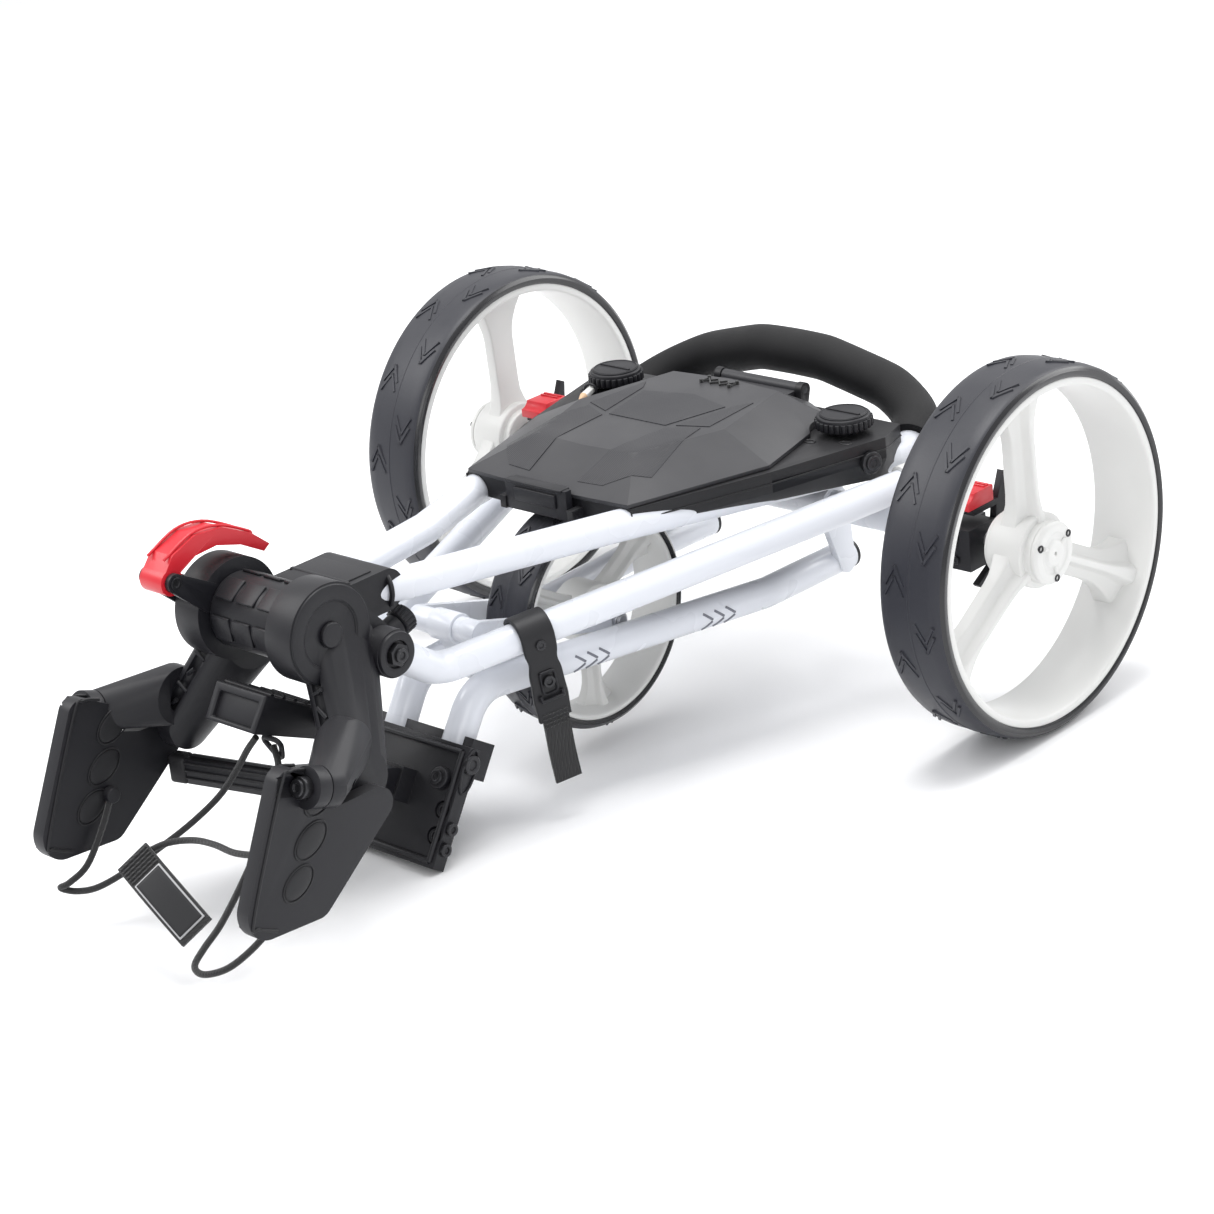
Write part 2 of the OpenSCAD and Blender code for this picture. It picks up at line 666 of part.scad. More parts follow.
module clamp_block() color([0.13, 0.13, 0.15]) placed() difference() {
    union() {
        translate([-33, -492, 202]) cube([66, 60, 32]);
        bar_x(-33, 33, [-434, 218], 16);
    }
    bar_x(-40, 40, [barrel_at[1], barrel_at[2]], barrel_d / 2);
    for (s = [-1, 1]) side(s) bar(handle_route[0], handle_route[1], tube_r);
}

function both_halves(half) = concat(half, [for (i = [len(half) - 2:-1:0]) [-half[i][0], half[i][1], half[i][2]]]);

module handle_tube() color("white") placed()
    bent_tube(both_halves(handle_route), handle_bend_r, tube_r, tube_r - tube_wall);

module foam_grip() color([0.08, 0.08, 0.09]) placed() {
    rings = route_rings(both_halves(handle_route), handle_bend_r);
    start = grip_start;
    tube_through([for (i = [start:len(rings) - 1 - start]) rings[i]], grip_d / 2, tube_r / flat_share);
}

module tray_hull() hull() {
    translate([0, 0, tray_front_z]) linear_extrude(tray_top - tray_front_z) polygon(mirrored_plan(tray_plan));
    for (s = [-1, 1]) side(s) translate([120, -16, tray_rear_z]) cube([32, 30, 4]);
}

module console_tray() color([0.16, 0.16, 0.18]) placed() difference() {
    union() {
        difference() {
            tray_hull();
            translate([0, 0, tray_front_z + console_wall]) linear_extrude(30) offset(delta = -8) polygon(mirrored_plan(lid_plan));
            translate([-85, -96, 197]) cube([170, 88, 30]);
        }
        intersection() {
            translate([-wheel_slot - 4, -260, 200]) cube([2 * wheel_slot + 8, 166, slot_top - 200 + console_wall]);
            tray_hull();
        }
        for (s = [-1, 1]) side(s) {
            hull() {
                bar_x(lid_half + side_gap, lid_half + 7, lid_hinge, 6);
                translate([lid_half + side_gap, 17.5, 208]) cube([6.5, 6, 4]);
            }
            translate([wheel_slot, latch_at[0] - 5, latch_at[1] - 4]) cube([6, 12, 10]);
        }
    }
    translate([-wheel_slot, -260, 150]) cube([2 * wheel_slot, 160, slot_top - 150]);
    bar_x(-100, 100, lid_hinge, lid_pin_r + run_fit);
    bar_x(-100, 100, latch_at, latch_pin_r + run_fit);
    for (s = [-1, 1]) side(s) {
        for (i = [1, 2, 3]) bar(handle_route[i], handle_route[i + 1], tube_r + side_gap / 2);
        translate(handle_route[3]) sphere(tube_r + side_gap);
        translate([knob_at[0], knob_at[1], 150]) cylinder(h = 100, r = knob_pin_r);
    }
}

module console_bolts() color([0.08, 0.08, 0.09]) placed() for (s = [-1, 1]) side(s) {
    seat = [154.6, -30, 206];
    out = unit([104, -29, 0]);
    bar(seat, seat + out * 6, 9);
}

module mesh_pouch() color([0.07, 0.07, 0.08]) placed() for (s = [-1, 1]) side(s) difference() {
    translate([wheel_slot + 3, -226, 188]) cube([24, 40, 24]);
    tray_hull();
}

module knob_wells(r) for (s = [-1, 1]) side(s) translate([knob_at[0], knob_at[1], 150]) cylinder(h = 150, r = r);

module console_lid() color([0.26, 0.26, 0.29]) placed() difference() {
    union() {
        hull() {
            translate([0, 0, tray_top + side_gap]) linear_extrude(3) polygon(mirrored_plan(lid_plan));
            translate([0, 0, lid_crown_z - 2]) linear_extrude(2) polygon(mirrored_plan(lid_crown));
        }
        bar_x(-lid_half, lid_half, lid_hinge, 5);
        bar_x(-lid_half - 7, lid_half + 7, lid_hinge, lid_pin_r);
        translate([-lid_half, 8, tray_top + side_gap]) cube([2 * lid_half, 16, 9]);
    }
    knob_wells(knob_d / 2 + knob_room);
    difference() {
        hull() {
            translate([0, 0, tray_top - 1]) linear_extrude(3) offset(delta = -console_wall) polygon(mirrored_plan(lid_plan));
            translate([0, 0, lid_crown_z - 7]) linear_extrude(2) offset(delta = -console_wall) polygon(mirrored_plan(lid_crown));
        }
        knob_wells(knob_d / 2 + knob_room + console_wall);
    }
}

module lid_latch() color([0.08, 0.08, 0.09]) placed() {
    half = wheel_slot - side_gap;
    translate([-half, latch_at[0] - 4, latch_at[1] - 3.5]) cube([2 * half, 6.5, 24]);
    bar_x(-wheel_slot - 6, wheel_slot + 6, latch_at, latch_pin_r);
}

module knob(s) color([0.1, 0.1, 0.11]) placed() side(s) translate(knob_at) {
    difference() {
        cylinder(h = knob_h, r = knob_d / 2);
        for (a = [0:15:345]) rotate([0, 0, a]) translate([knob_d / 2 + 0.6, 0, -1]) cylinder(h = knob_h - 2, r = 2, $fn = 16);
    }
    translate([0, 0, -14]) cylinder(h = 14, r = knob_pin_r - run_fit);
}

// ---------------------------------------------------------------- elastic cords

module bungee_left() color([0.05, 0.05, 0.05]) placed() cord(cord_left, cord_d / 2);

module bungee_right() color([0.05, 0.05, 0.05]) placed() cord(cord_right, cord_d / 2);

module bungee_tag_cord() color([0.05, 0.05, 0.05]) placed() cord(cord_tag, cord_d / 2);

module webbing_tag() color([0.06, 0.06, 0.06]) placed() multmatrix([
    [tag_way[0], tag_wide[0], tag_face[0], tag_at[0]],
    [tag_way[1], tag_wide[1], tag_face[1], tag_at[1]],
    [tag_way[2], tag_wide[2], tag_face[2], tag_at[2]],
    [0, 0, 0, 1]
]) linear_extrude(tag_t) polygon(tag_plan);

// ---------------------------------------------------------------- assembly

axle_tube();
chassis_tube(-1);  // chassis_tube_left
chassis_tube(1);  // chassis_tube_right
tube_plugs();
fork_bracket();
base_bracket();
base_screws();
cradle_bar();
cradle_tips();
axle_stubs();
brake_housing(-1);  // brake_housing_left
brake_housing(1);  // brake_housing_right
brake_lever(-1);  // brake_lever_left
brake_lever(1);  // brake_lever_right
brake_pedal(-1);  // brake_pedal_left
brake_pedal(1);  // brake_pedal_right
rear_rim(-1);  // rear_rim_left
rear_rim(1);  // rear_rim_right
rear_tyre(-1);  // rear_tyre_left
rear_tyre(1);  // rear_tyre_right
hub_cap(-1);  // hub_cap_left
hub_cap(1);  // hub_cap_right
wheel_bearings(-1);  // wheel_bearings_left
wheel_bearings(1);  // wheel_bearings_right
front_fork();
front_axle();
front_rim();
front_tyre();
front_bearings();
frame_tube(-1);  // frame_tube_left
frame_tube(1);  // frame_tube_right
frame_knuckles();
bag_arm(-1);  // bag_arm_left
bag_arm(1);  // bag_arm_right
hinge_pin();
frame_bolts();
paddle_pins();
paddle(-1);  // paddle_left
paddle(1);  // paddle_right
cam_pin();
cam_lever();
lock_knob();
buckle();
release_strap();
strap_tab();
hinge_barrel();
clamp_block();
handle_tube();
foam_grip();
console_tray();
console_bolts();
mesh_pouch();
console_lid();
lid_latch();
knob(-1);  // knob_left
knob(1);  // knob_right
bungee_left();
bungee_right();
bungee_tag_cord();
webbing_tag();
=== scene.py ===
"""Folding golf push trolley, lying folded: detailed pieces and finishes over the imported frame."""
import logging
import math
from collections.abc import Iterable, Sequence
from dataclasses import dataclass, field
from enum import Enum
from typing import Optional

import bpy
from mathutils import Matrix, Vector
from mathutils.bvhtree import BVHTree


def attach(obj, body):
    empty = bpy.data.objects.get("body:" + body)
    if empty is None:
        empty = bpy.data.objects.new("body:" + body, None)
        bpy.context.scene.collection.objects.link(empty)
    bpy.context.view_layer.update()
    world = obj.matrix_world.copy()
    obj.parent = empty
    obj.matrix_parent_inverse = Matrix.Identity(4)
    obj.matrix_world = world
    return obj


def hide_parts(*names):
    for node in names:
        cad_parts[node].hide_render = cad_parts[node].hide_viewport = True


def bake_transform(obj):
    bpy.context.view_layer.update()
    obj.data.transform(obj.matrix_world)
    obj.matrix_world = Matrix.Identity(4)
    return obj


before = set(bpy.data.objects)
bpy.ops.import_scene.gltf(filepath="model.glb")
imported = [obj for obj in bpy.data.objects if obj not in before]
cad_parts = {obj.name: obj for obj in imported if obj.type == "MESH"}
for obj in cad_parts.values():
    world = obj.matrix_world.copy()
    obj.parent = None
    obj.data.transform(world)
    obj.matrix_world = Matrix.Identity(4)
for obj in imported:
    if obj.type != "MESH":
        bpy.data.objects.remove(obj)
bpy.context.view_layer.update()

log = logging.getLogger("trolley")
REAR_AXLE_Y = 0.2605


def at(x: float, y: float, z: float) -> Vector:
    """Gives a point of the row frame, in metres, from millimetres counted from the rear axle."""
    return Vector((x / 1000, y / 1000 + REAR_AXLE_Y, z / 1000))


class Side(Enum):
    """The two sides of the trolley."""

    LEFT = -1
    RIGHT = 1

    @property
    def word(self) -> str:
        """The side's name as the nodes spell it."""
        return self.name.lower()


# ---------------------------------------------------------------- finishes


class NodeGroups:
    """Shader node groups that several finishes share."""

    @staticmethod
    def _start(name: str, sockets: Sequence[tuple[str, str, str, float]]) -> Optional[bpy.types.NodeTree]:
        """Starts a group.

        Args:
            name: the group's name.
            sockets: name, "INPUT" or "OUTPUT", socket type and default of each socket.

        Returns:
            The new group, or None if it exists already.
        """
        if name in bpy.data.node_groups:
            return None
        group = bpy.data.node_groups.new(name, "ShaderNodeTree")
        for label, way, kind, default in sockets:
            socket = group.interface.new_socket(label, in_out=way, socket_type=kind)
            if kind == "NodeSocketFloat":
                socket.default_value = default
        group.nodes.new("NodeGroupInput").name = "in"
        group.nodes.new("NodeGroupOutput").name = "out"
        return group

    @classmethod
    def grain(cls) -> bpy.types.NodeTree:
        """Returns the group for a moulded or painted skin's fine grain."""
        group = cls._start("surface_grain", [
            ("Scale", "INPUT", "NodeSocketFloat", 900.0), ("Roughness", "INPUT", "NodeSocketFloat", 0.5),
            ("Spread", "INPUT", "NodeSocketFloat", 0.1), ("Height", "OUTPUT", "NodeSocketFloat", 0.0),
            ("Roughness", "OUTPUT", "NodeSocketFloat", 0.5)])
        if group is None:
            return bpy.data.node_groups["surface_grain"]
        nodes, links = group.nodes, group.links
        place = nodes.new("ShaderNodeTexCoord")
        fine, broad = nodes.new("ShaderNodeTexNoise"), nodes.new("ShaderNodeTexNoise")
        broad.inputs["Scale"].default_value = 22.0
        fine.inputs["Detail"].default_value = 3.0
        links.new(place.outputs["Object"], fine.inputs["Vector"])
        links.new(place.outputs["Object"], broad.inputs["Vector"])
        links.new(nodes["in"].outputs["Scale"], fine.inputs["Scale"])
        spread = nodes.new("ShaderNodeMath")
        spread.operation = "MULTIPLY_ADD"
        centred = nodes.new("ShaderNodeMath")
        centred.operation = "SUBTRACT"
        centred.inputs[1].default_value = 0.5
        links.new(broad.outputs["Fac"], centred.inputs[0])
        links.new(centred.outputs[0], spread.inputs[0])
        links.new(nodes["in"].outputs["Spread"], spread.inputs[1])
        links.new(nodes["in"].outputs["Roughness"], spread.inputs[2])
        links.new(fine.outputs["Fac"], nodes["out"].inputs["Height"])
        links.new(spread.outputs[0], nodes["out"].inputs["Roughness"])
        return group

    @classmethod
    def patina(cls) -> bpy.types.NodeTree:
        """Returns the group that varies a colour softly and lays a little dust on what faces up."""
        group = cls._start("patina", [
            ("Color", "INPUT", "NodeSocketColor", 0.0), ("Dust Color", "INPUT", "NodeSocketColor", 0.0),
            ("Amount", "INPUT", "NodeSocketFloat", 0.1), ("Dust", "INPUT", "NodeSocketFloat", 0.1),
            ("Color", "OUTPUT", "NodeSocketColor", 0.0)])
        if group is None:
            return bpy.data.node_groups["patina"]
        nodes, links = group.nodes, group.links
        place, shape = nodes.new("ShaderNodeTexCoord"), nodes.new("ShaderNodeNewGeometry")
        cloud = nodes.new("ShaderNodeTexNoise")
        cloud.inputs["Scale"].default_value = 14.0
        cloud.inputs["Detail"].default_value = 5.0
        links.new(place.outputs["Object"], cloud.inputs["Vector"])
        split = nodes.new("ShaderNodeSeparateXYZ")
        links.new(shape.outputs["Normal"], split.inputs[0])
        up = nodes.new("ShaderNodeMath")
        up.operation, up.use_clamp = "MULTIPLY", True
        links.new(split.outputs["Z"], up.inputs[0])
        links.new(cloud.outputs["Fac"], up.inputs[1])
        dust = nodes.new("ShaderNodeMath")
        dust.operation = "MULTIPLY"
        links.new(up.outputs[0], dust.inputs[0])
        links.new(nodes["in"].outputs["Dust"], dust.inputs[1])
        shade = nodes.new("ShaderNodeMath")
        shade.operation = "MULTIPLY"
        links.new(cloud.outputs["Fac"], shade.inputs[0])
        links.new(nodes["in"].outputs["Amount"], shade.inputs[1])
        darker = nodes.new("ShaderNodeMix")
        darker.data_type, darker.blend_type = "RGBA", "MULTIPLY"
        darker.inputs[7].default_value = (0.55, 0.55, 0.57, 1)
        links.new(shade.outputs[0], darker.inputs[0])
        links.new(nodes["in"].outputs["Color"], darker.inputs[6])
        dusty = nodes.new("ShaderNodeMix")
        dusty.data_type = "RGBA"
        links.new(dust.outputs[0], dusty.inputs[0])
        links.new(darker.outputs[2], dusty.inputs[6])
        links.new(nodes["in"].outputs["Dust Color"], dusty.inputs[7])
        links.new(dusty.outputs[2], nodes["out"].inputs["Color"])
        return group

    @classmethod
    def weave(cls) -> bpy.types.NodeTree:
        """Returns the group for crossed yarns, over Object coordinates turned by a vector."""
        group = cls._start("weave", [
            ("Vector", "INPUT", "NodeSocketVector", 0.0), ("Scale", "INPUT", "NodeSocketFloat", 200.0),
            ("Height", "OUTPUT", "NodeSocketFloat", 0.0)])
        if group is None:
            return bpy.data.node_groups["weave"]
        nodes, links = group.nodes, group.links
        waves = []
        for direction in ("X", "Y"):
            wave = nodes.new("ShaderNodeTexWave")
            wave.bands_direction = direction
            links.new(nodes["in"].outputs["Vector"], wave.inputs["Vector"])
            links.new(nodes["in"].outputs["Scale"], wave.inputs["Scale"])
            waves.append(wave)
        both = nodes.new("ShaderNodeMath")
        both.operation = "MAXIMUM"
        links.new(waves[0].outputs["Fac"], both.inputs[0])
        links.new(waves[1].outputs["Fac"], both.inputs[1])
        links.new(both.outputs[0], nodes["out"].inputs["Height"])
        return group


@dataclass(frozen=True)
class Finish:
    """A painted, moulded or metal finish with grain, soft colour variation and dust."""

    name: str
    color: tuple[float, float, float]
    roughness: float
    grain_scale: float = 900.0
    grain_depth: float = 0.06
    grain_height: float = 0.0002
    spread: float = 0.12
    variation: float = 0.25
    dust: float = 0.05
    metallic: float = 0.0
    coat: float = 0.0
    sheen: float = 0.0
    specular: float = 0.5

    def material(self) -> bpy.types.Material:
        """Returns the finish's material, built the first time it is asked for."""
        if self.name in bpy.data.materials and bpy.data.materials[self.name].get("made_here"):
            return bpy.data.materials[self.name]
        made = bpy.data.materials.new(self.name)
        made["made_here"] = True
        made.use_nodes = True
        nodes, links = made.node_tree.nodes, made.node_tree.links
        shader = nodes["Principled BSDF"]
        grain, patina = nodes.new("ShaderNodeGroup"), nodes.new("ShaderNodeGroup")
        grain.node_tree, patina.node_tree = NodeGroups.grain(), NodeGroups.patina()
        grain.inputs["Scale"].default_value = self.grain_scale
        grain.inputs["Roughness"].default_value = self.roughness
        grain.inputs["Spread"].default_value = self.spread
        patina.inputs["Color"].default_value = (*self.color, 1)
        patina.inputs["Dust Color"].default_value = (0.62, 0.61, 0.6, 1)
        patina.inputs["Amount"].default_value = self.variation
        patina.inputs["Dust"].default_value = self.dust
        bump = nodes.new("ShaderNodeBump")
        bump.inputs["Strength"].default_value = self.grain_depth
        bump.inputs["Distance"].default_value = self.grain_height
        height = self.relief(made, grain.outputs["Height"])
        links.new(height, bump.inputs["Height"])
        links.new(patina.outputs["Color"], shader.inputs["Base Color"])
        links.new(grain.outputs["Roughness"], shader.inputs["Roughness"])
        links.new(bump.outputs["Normal"], shader.inputs["Normal"])
        shader.inputs["Metallic"].default_value = self.metallic
        shader.inputs["Coat Weight"].default_value = self.coat
        shader.inputs["Coat Roughness"].default_value = 0.12
        shader.inputs["Sheen Weight"].default_value = self.sheen
        shader.inputs["Sheen Roughness"].default_value = 0.4
        shader.inputs["Specular IOR Level"].default_value = self.specular
        return made

    def relief(self, made: bpy.types.Material, grain: bpy.types.NodeSocket) -> bpy.types.NodeSocket:
        """Gives the height the bump reads.

        Args:
            made: the material that is being built.
            grain: the grain group's height.

        Returns:
            The socket that holds the height; here the grain's own.
        """
        return grain


@dataclass(frozen=True)
class WovenFinish(Finish):
    """A woven, braided or knitted finish."""

    yarn_scale: float = 260.0
    turn: tuple[float, float, float] = (0.0, 0.0, 0.0)

    def relief(self, made: bpy.types.Material, grain: bpy.types.NodeSocket) -> bpy.types.NodeSocket:
        """Gives the yarns' height with the grain on top.

        Args:
            made: the material that is being built.
            grain: the grain group's height.

        Returns:
            The socket with the summed height.
        """
        nodes, links = made.node_tree.nodes, made.node_tree.links
        place, turned = nodes.new("ShaderNodeTexCoord"), nodes.new("ShaderNodeMapping")
        turned.inputs["Rotation"].default_value = [math.radians(angle) for angle in self.turn]
        yarns = nodes.new("ShaderNodeGroup")
        yarns.node_tree = NodeGroups.weave()
        yarns.inputs["Scale"].default_value = self.yarn_scale
        links.new(place.outputs["Object"], turned.inputs["Vector"])
        links.new(turned.outputs["Vector"], yarns.inputs["Vector"])
        both = nodes.new("ShaderNodeMath")
        both.operation = "MULTIPLY_ADD"
        both.inputs[1].default_value = 0.25
        links.new(grain, both.inputs[0])
        links.new(yarns.outputs["Height"], both.inputs[2])
        return both.outputs[0]


@dataclass(frozen=True)
class RibbedFinish(Finish):
    """A moulded skin with fine parallel ribs across the trolley."""

    rib_scale: float = 170.0

    def relief(self, made: bpy.types.Material, grain: bpy.types.NodeSocket) -> bpy.types.NodeSocket:
        """Gives the ribs' height with the grain on top.

        Args:
            made: the material that is being built.
            grain: the grain group's height.

        Returns:
            The socket with the summed height.
        """
        nodes, links = made.node_tree.nodes, made.node_tree.links
        place, ribs = nodes.new("ShaderNodeTexCoord"), nodes.new("ShaderNodeTexWave")
        ribs.bands_direction = "X"
        ribs.inputs["Scale"].default_value = self.rib_scale
        links.new(place.outputs["Object"], ribs.inputs["Vector"])
        both = nodes.new("ShaderNodeMath")
        both.operation = "MULTIPLY_ADD"
        both.inputs[1].default_value = 0.3
        links.new(grain, both.inputs[0])
        links.new(ribs.outputs["Fac"], both.inputs[2])
        return both.outputs[0]


WHITE_PAINT = Finish("white_powder_coat", (0.70, 0.72, 0.77), 0.28, 1400, 0.10, 0.0002, 0.08, 0.10, 0.0, coat=0.25)
WHITE_PLASTIC = Finish("white_moulding", (0.66, 0.66, 0.645), 0.42, 1100, 0.08, 0.0002, 0.10, 0.10, 0.0)
BLACK_PLASTIC = Finish("black_moulding", (0.010, 0.010, 0.013), 0.42, 1500, 0.16, 0.0003, 0.12, 0.35, 0.05, specular=0.3)
CONSOLE_PLASTIC = Finish("console_moulding", (0.011, 0.011, 0.013), 0.40, 1500, 0.14, 0.0003, 0.10, 0.35, 0.05, specular=0.3)
LID_PLASTIC = Finish("lid_moulding", (0.030, 0.030, 0.034), 0.42, 1500, 0.14, 0.0003, 0.10, 0.25, 0.08, specular=0.32)
LID_RIBS = RibbedFinish("lid_ribbed_panels", (0.026, 0.026, 0.030), 0.46, 1500, 0.35, 0.0004, 0.08, 0.25, 0.06, specular=0.32)
RED_PLASTIC = Finish("red_moulding", (0.60, 0.010, 0.022), 0.36, 1300, 0.10, 0.0002, 0.10, 0.25, 0.03, coat=0.1)
TYRE_RUBBER = Finish("tyre_rubber", (0.018, 0.019, 0.027), 0.42, 700, 0.22, 0.0003, 0.16, 0.45, 0.10, specular=0.36)
TYRE_WALL = Finish("tyre_side_wall", (0.010, 0.010, 0.012), 0.24, 900, 0.08, 0.0002, 0.10, 0.2, 0.02)
FOAM = Finish("grip_foam", (0.004, 0.004, 0.005), 0.72, 2200, 0.45, 0.0005, 0.08, 0.3, 0.05, sheen=0.04, specular=0.22)
STRAP_RUBBER = Finish("strap_rubber", (0.012, 0.012, 0.014), 0.46, 1500, 0.15, 0.0003, 0.10, 0.3, 0.04, specular=0.3)
WEBBING = WovenFinish("webbing", (0.012, 0.012, 0.013), 0.75, 1800, 0.7, 0.0006, 0.05, 0.3, 0.05, sheen=0.3,
                      yarn_scale=240, turn=(0, 0, 45))
MESH_KNIT = WovenFinish("mesh_knit", (0.014, 0.014, 0.016), 0.8, 1600, 0.9, 0.0008, 0.05, 0.5, 0.03, sheen=0.2,
                        yarn_scale=180, turn=(20, 30, 45))
CORD_BRAID = WovenFinish("cord_braid", (0.010, 0.010, 0.011), 0.7, 1900, 0.8, 0.0005, 0.05, 0.3, 0.03, sheen=0.25,
                         yarn_scale=320, turn=(30, 30, 45))
STEEL = Finish("brushed_steel", (0.55, 0.55, 0.57), 0.32, 2600, 0.12, 0.0002, 0.14, 0.2, 0.0, metallic=1.0)
BLACK_STEEL = Finish("blackened_screws", (0.03, 0.03, 0.033), 0.3, 1600, 0.08, 0.0002, 0.12, 0.2, 0.0, metallic=0.6)
GREY_PRINT = Finish("grey_marks", (0.16, 0.17, 0.20), 0.4, 1400, 0.06, 0.0002, 0.08, 0.2, 0.0)
PALE_PRINT = Finish("pale_border", (0.45, 0.45, 0.46), 0.5, 1400, 0.06, 0.0002, 0.08, 0.2, 0.0)
PENCIL_WOOD = Finish("pencil_wood", (0.62, 0.42, 0.26), 0.6, 600, 0.2, 0.0003, 0.1, 0.3, 0.0)
FLOOR_PAINT = Finish("floor", (0.93, 0.93, 0.935), 0.7, 60, 0.0, 0.0001, 0.02, 0.0, 0.0)


# ---------------------------------------------------------------- workshop


class Bench:
    """Modelling steps that every sub-assembly shares."""

    @staticmethod
    def clear() -> None:
        """Leaves nothing selected and no object in edit mode."""
        if bpy.context.object and bpy.context.object.mode != "OBJECT":
            bpy.ops.object.mode_set(mode="OBJECT")
        bpy.ops.object.select_all(action="DESELECT")

    @classmethod
    def pick(cls, *pieces: bpy.types.Object) -> bpy.types.Object:
        """Selects pieces and makes the first active.

        Args:
            pieces: what to select.

        Returns:
            The first piece.
        """
        cls.clear()
        for piece in pieces:
            piece.select_set(True)
        bpy.context.view_layer.objects.active = pieces[0]
        return pieces[0]

    @classmethod
    def settle(cls, piece: bpy.types.Object) -> bpy.types.Object:
        """Puts a piece's place, turn and size into its mesh, and returns it."""
        cls.pick(piece)
        bpy.ops.object.transform_apply(location=True, rotation=True, scale=True)
        return piece

    @classmethod
    def apply(cls, piece: bpy.types.Object) -> bpy.types.Object:
        """Applies all of a piece's modifiers, and returns it."""
        cls.pick(piece)
        for modifier in list(piece.modifiers):
            bpy.ops.object.modifier_apply(modifier=modifier.name)
        return piece

    @classmethod
    def bevel(cls, piece: bpy.types.Object, width: float, segments: int = 3, angle: float = 32.0) -> bpy.types.Object:
        """Rounds a piece's edges.

        Args:
            piece: the piece.
            width: the bevel's width in millimetres.
            segments: faces across the bevel.
            angle: edges sharper than this many degrees are rounded.

        Returns:
            The piece.
        """
        modifier = piece.modifiers.new("rounding", "BEVEL")
        modifier.width, modifier.segments = width / 1000, segments
        modifier.limit_method, modifier.angle_limit = "ANGLE", math.radians(angle)
        modifier.use_clamp_overlap = True
        return cls.apply(piece)

    @classmethod
    def close(cls, piece: bpy.types.Object, outwards: bool = True) -> bpy.types.Object:
        """Merges a piece's doubled points and turns its faces outwards, and returns it."""
        cls.pick(piece)
        bpy.ops.object.mode_set(mode="EDIT")
        bpy.ops.mesh.select_all(action="SELECT")
        bpy.ops.mesh.remove_doubles(threshold=1e-5)
        if outwards:
            bpy.ops.mesh.normals_make_consistent(inside=False)
        bpy.ops.object.mode_set(mode="OBJECT")
        return piece

    @classmethod
    def join(cls, pieces: Sequence[bpy.types.Object]) -> bpy.types.Object:
        """Joins pieces into the first one, and returns it."""
        cls.pick(*pieces)
        if len(pieces) > 1:
            bpy.ops.object.join()
        return pieces[0]

    @classmethod
    def outline(cls, points: Sequence[Vector], push: Vector) -> bpy.types.Object:
        """Makes a closed plate from an outline.

        Args:
            points: the outline's corners in the row frame, in order.
            push: how far and which way the outline is extruded.

        Returns:
            The plate.
        """
        cls.clear()
        bpy.ops.mesh.primitive_circle_add(vertices=len(points), radius=0.01, fill_type="NGON")
        piece = bpy.context.object
        for vertex, point in zip(piece.data.vertices, points):
            vertex.co = point
        bpy.ops.object.mode_set(mode="EDIT")
        bpy.ops.mesh.select_all(action="SELECT")
        bpy.ops.mesh.extrude_region_move(TRANSFORM_OT_translate={"value": tuple(push)})
        bpy.ops.mesh.select_all(action="SELECT")
        bpy.ops.mesh.normals_make_consistent(inside=False)
        bpy.ops.object.mode_set(mode="OBJECT")
        return piece

    @classmethod
    def plate_x(cls, points: Sequence[tuple[float, float]], x0: float, x1: float) -> bpy.types.Object:
        """Makes a plate square to X from (y, z) corners in millimetres, between x0 and x1."""
        return cls.outline([at(x0, y, z) for y, z in points], Vector(((x1 - x0) / 1000, 0, 0)))

    @classmethod
    def block(cls, low: Sequence[float], high: Sequence[float], bevel: float = 0.0) -> bpy.types.Object:
        """Makes a block between two corners in millimetres, with rounded edges if a bevel is given."""
        a, b = at(*low), at(*high)
        cls.clear()
        bpy.ops.mesh.primitive_cube_add(size=1, location=(a + b) / 2)
        piece = bpy.context.object
        piece.scale = [abs(v) for v in (b - a)]
        cls.settle(piece)
        return cls.bevel(piece, bevel) if bevel else piece

    @classmethod
    def rod(cls, p: Vector, q: Vector, radius: float, sides: int = 40, bevel: float = 0.0) -> bpy.types.Object:
        """Makes a round bar.

        Args:
            p: one end's middle in the row frame.
            q: the other end's middle.
            radius: in millimetres.
            sides: sides of the bar.
            bevel: width of the rounding of its ends, in millimetres.

        Returns:
            The bar.
        """
        cls.clear()
        way = q - p
        bpy.ops.mesh.primitive_cylinder_add(vertices=sides, radius=radius / 1000, depth=way.length, location=(p + q) / 2,
                                            rotation=way.to_track_quat("Z", "Y").to_euler())
        piece = cls.settle(bpy.context.object)
        return cls.bevel(piece, bevel, 3, 50) if bevel else piece

    @classmethod
    def ring(cls, middle: Vector, axis: Vector, radius: float, thick: float, sides: int = 64) -> bpy.types.Object:
        """Makes a round ring.

        Args:
            middle: the ring's middle in the row frame.
            axis: the way its hole points.
            radius: to the middle of its section, in millimetres.
            thick: radius of its section, in millimetres.
            sides: sides round the ring.

        Returns:
            The ring.
        """
        cls.clear()
        bpy.ops.mesh.primitive_torus_add(major_segments=sides, minor_segments=10, major_radius=radius / 1000,
                                         minor_radius=thick / 1000, location=middle,
                                         rotation=axis.to_track_quat("Z", "Y").to_euler())
        return cls.settle(bpy.context.object)

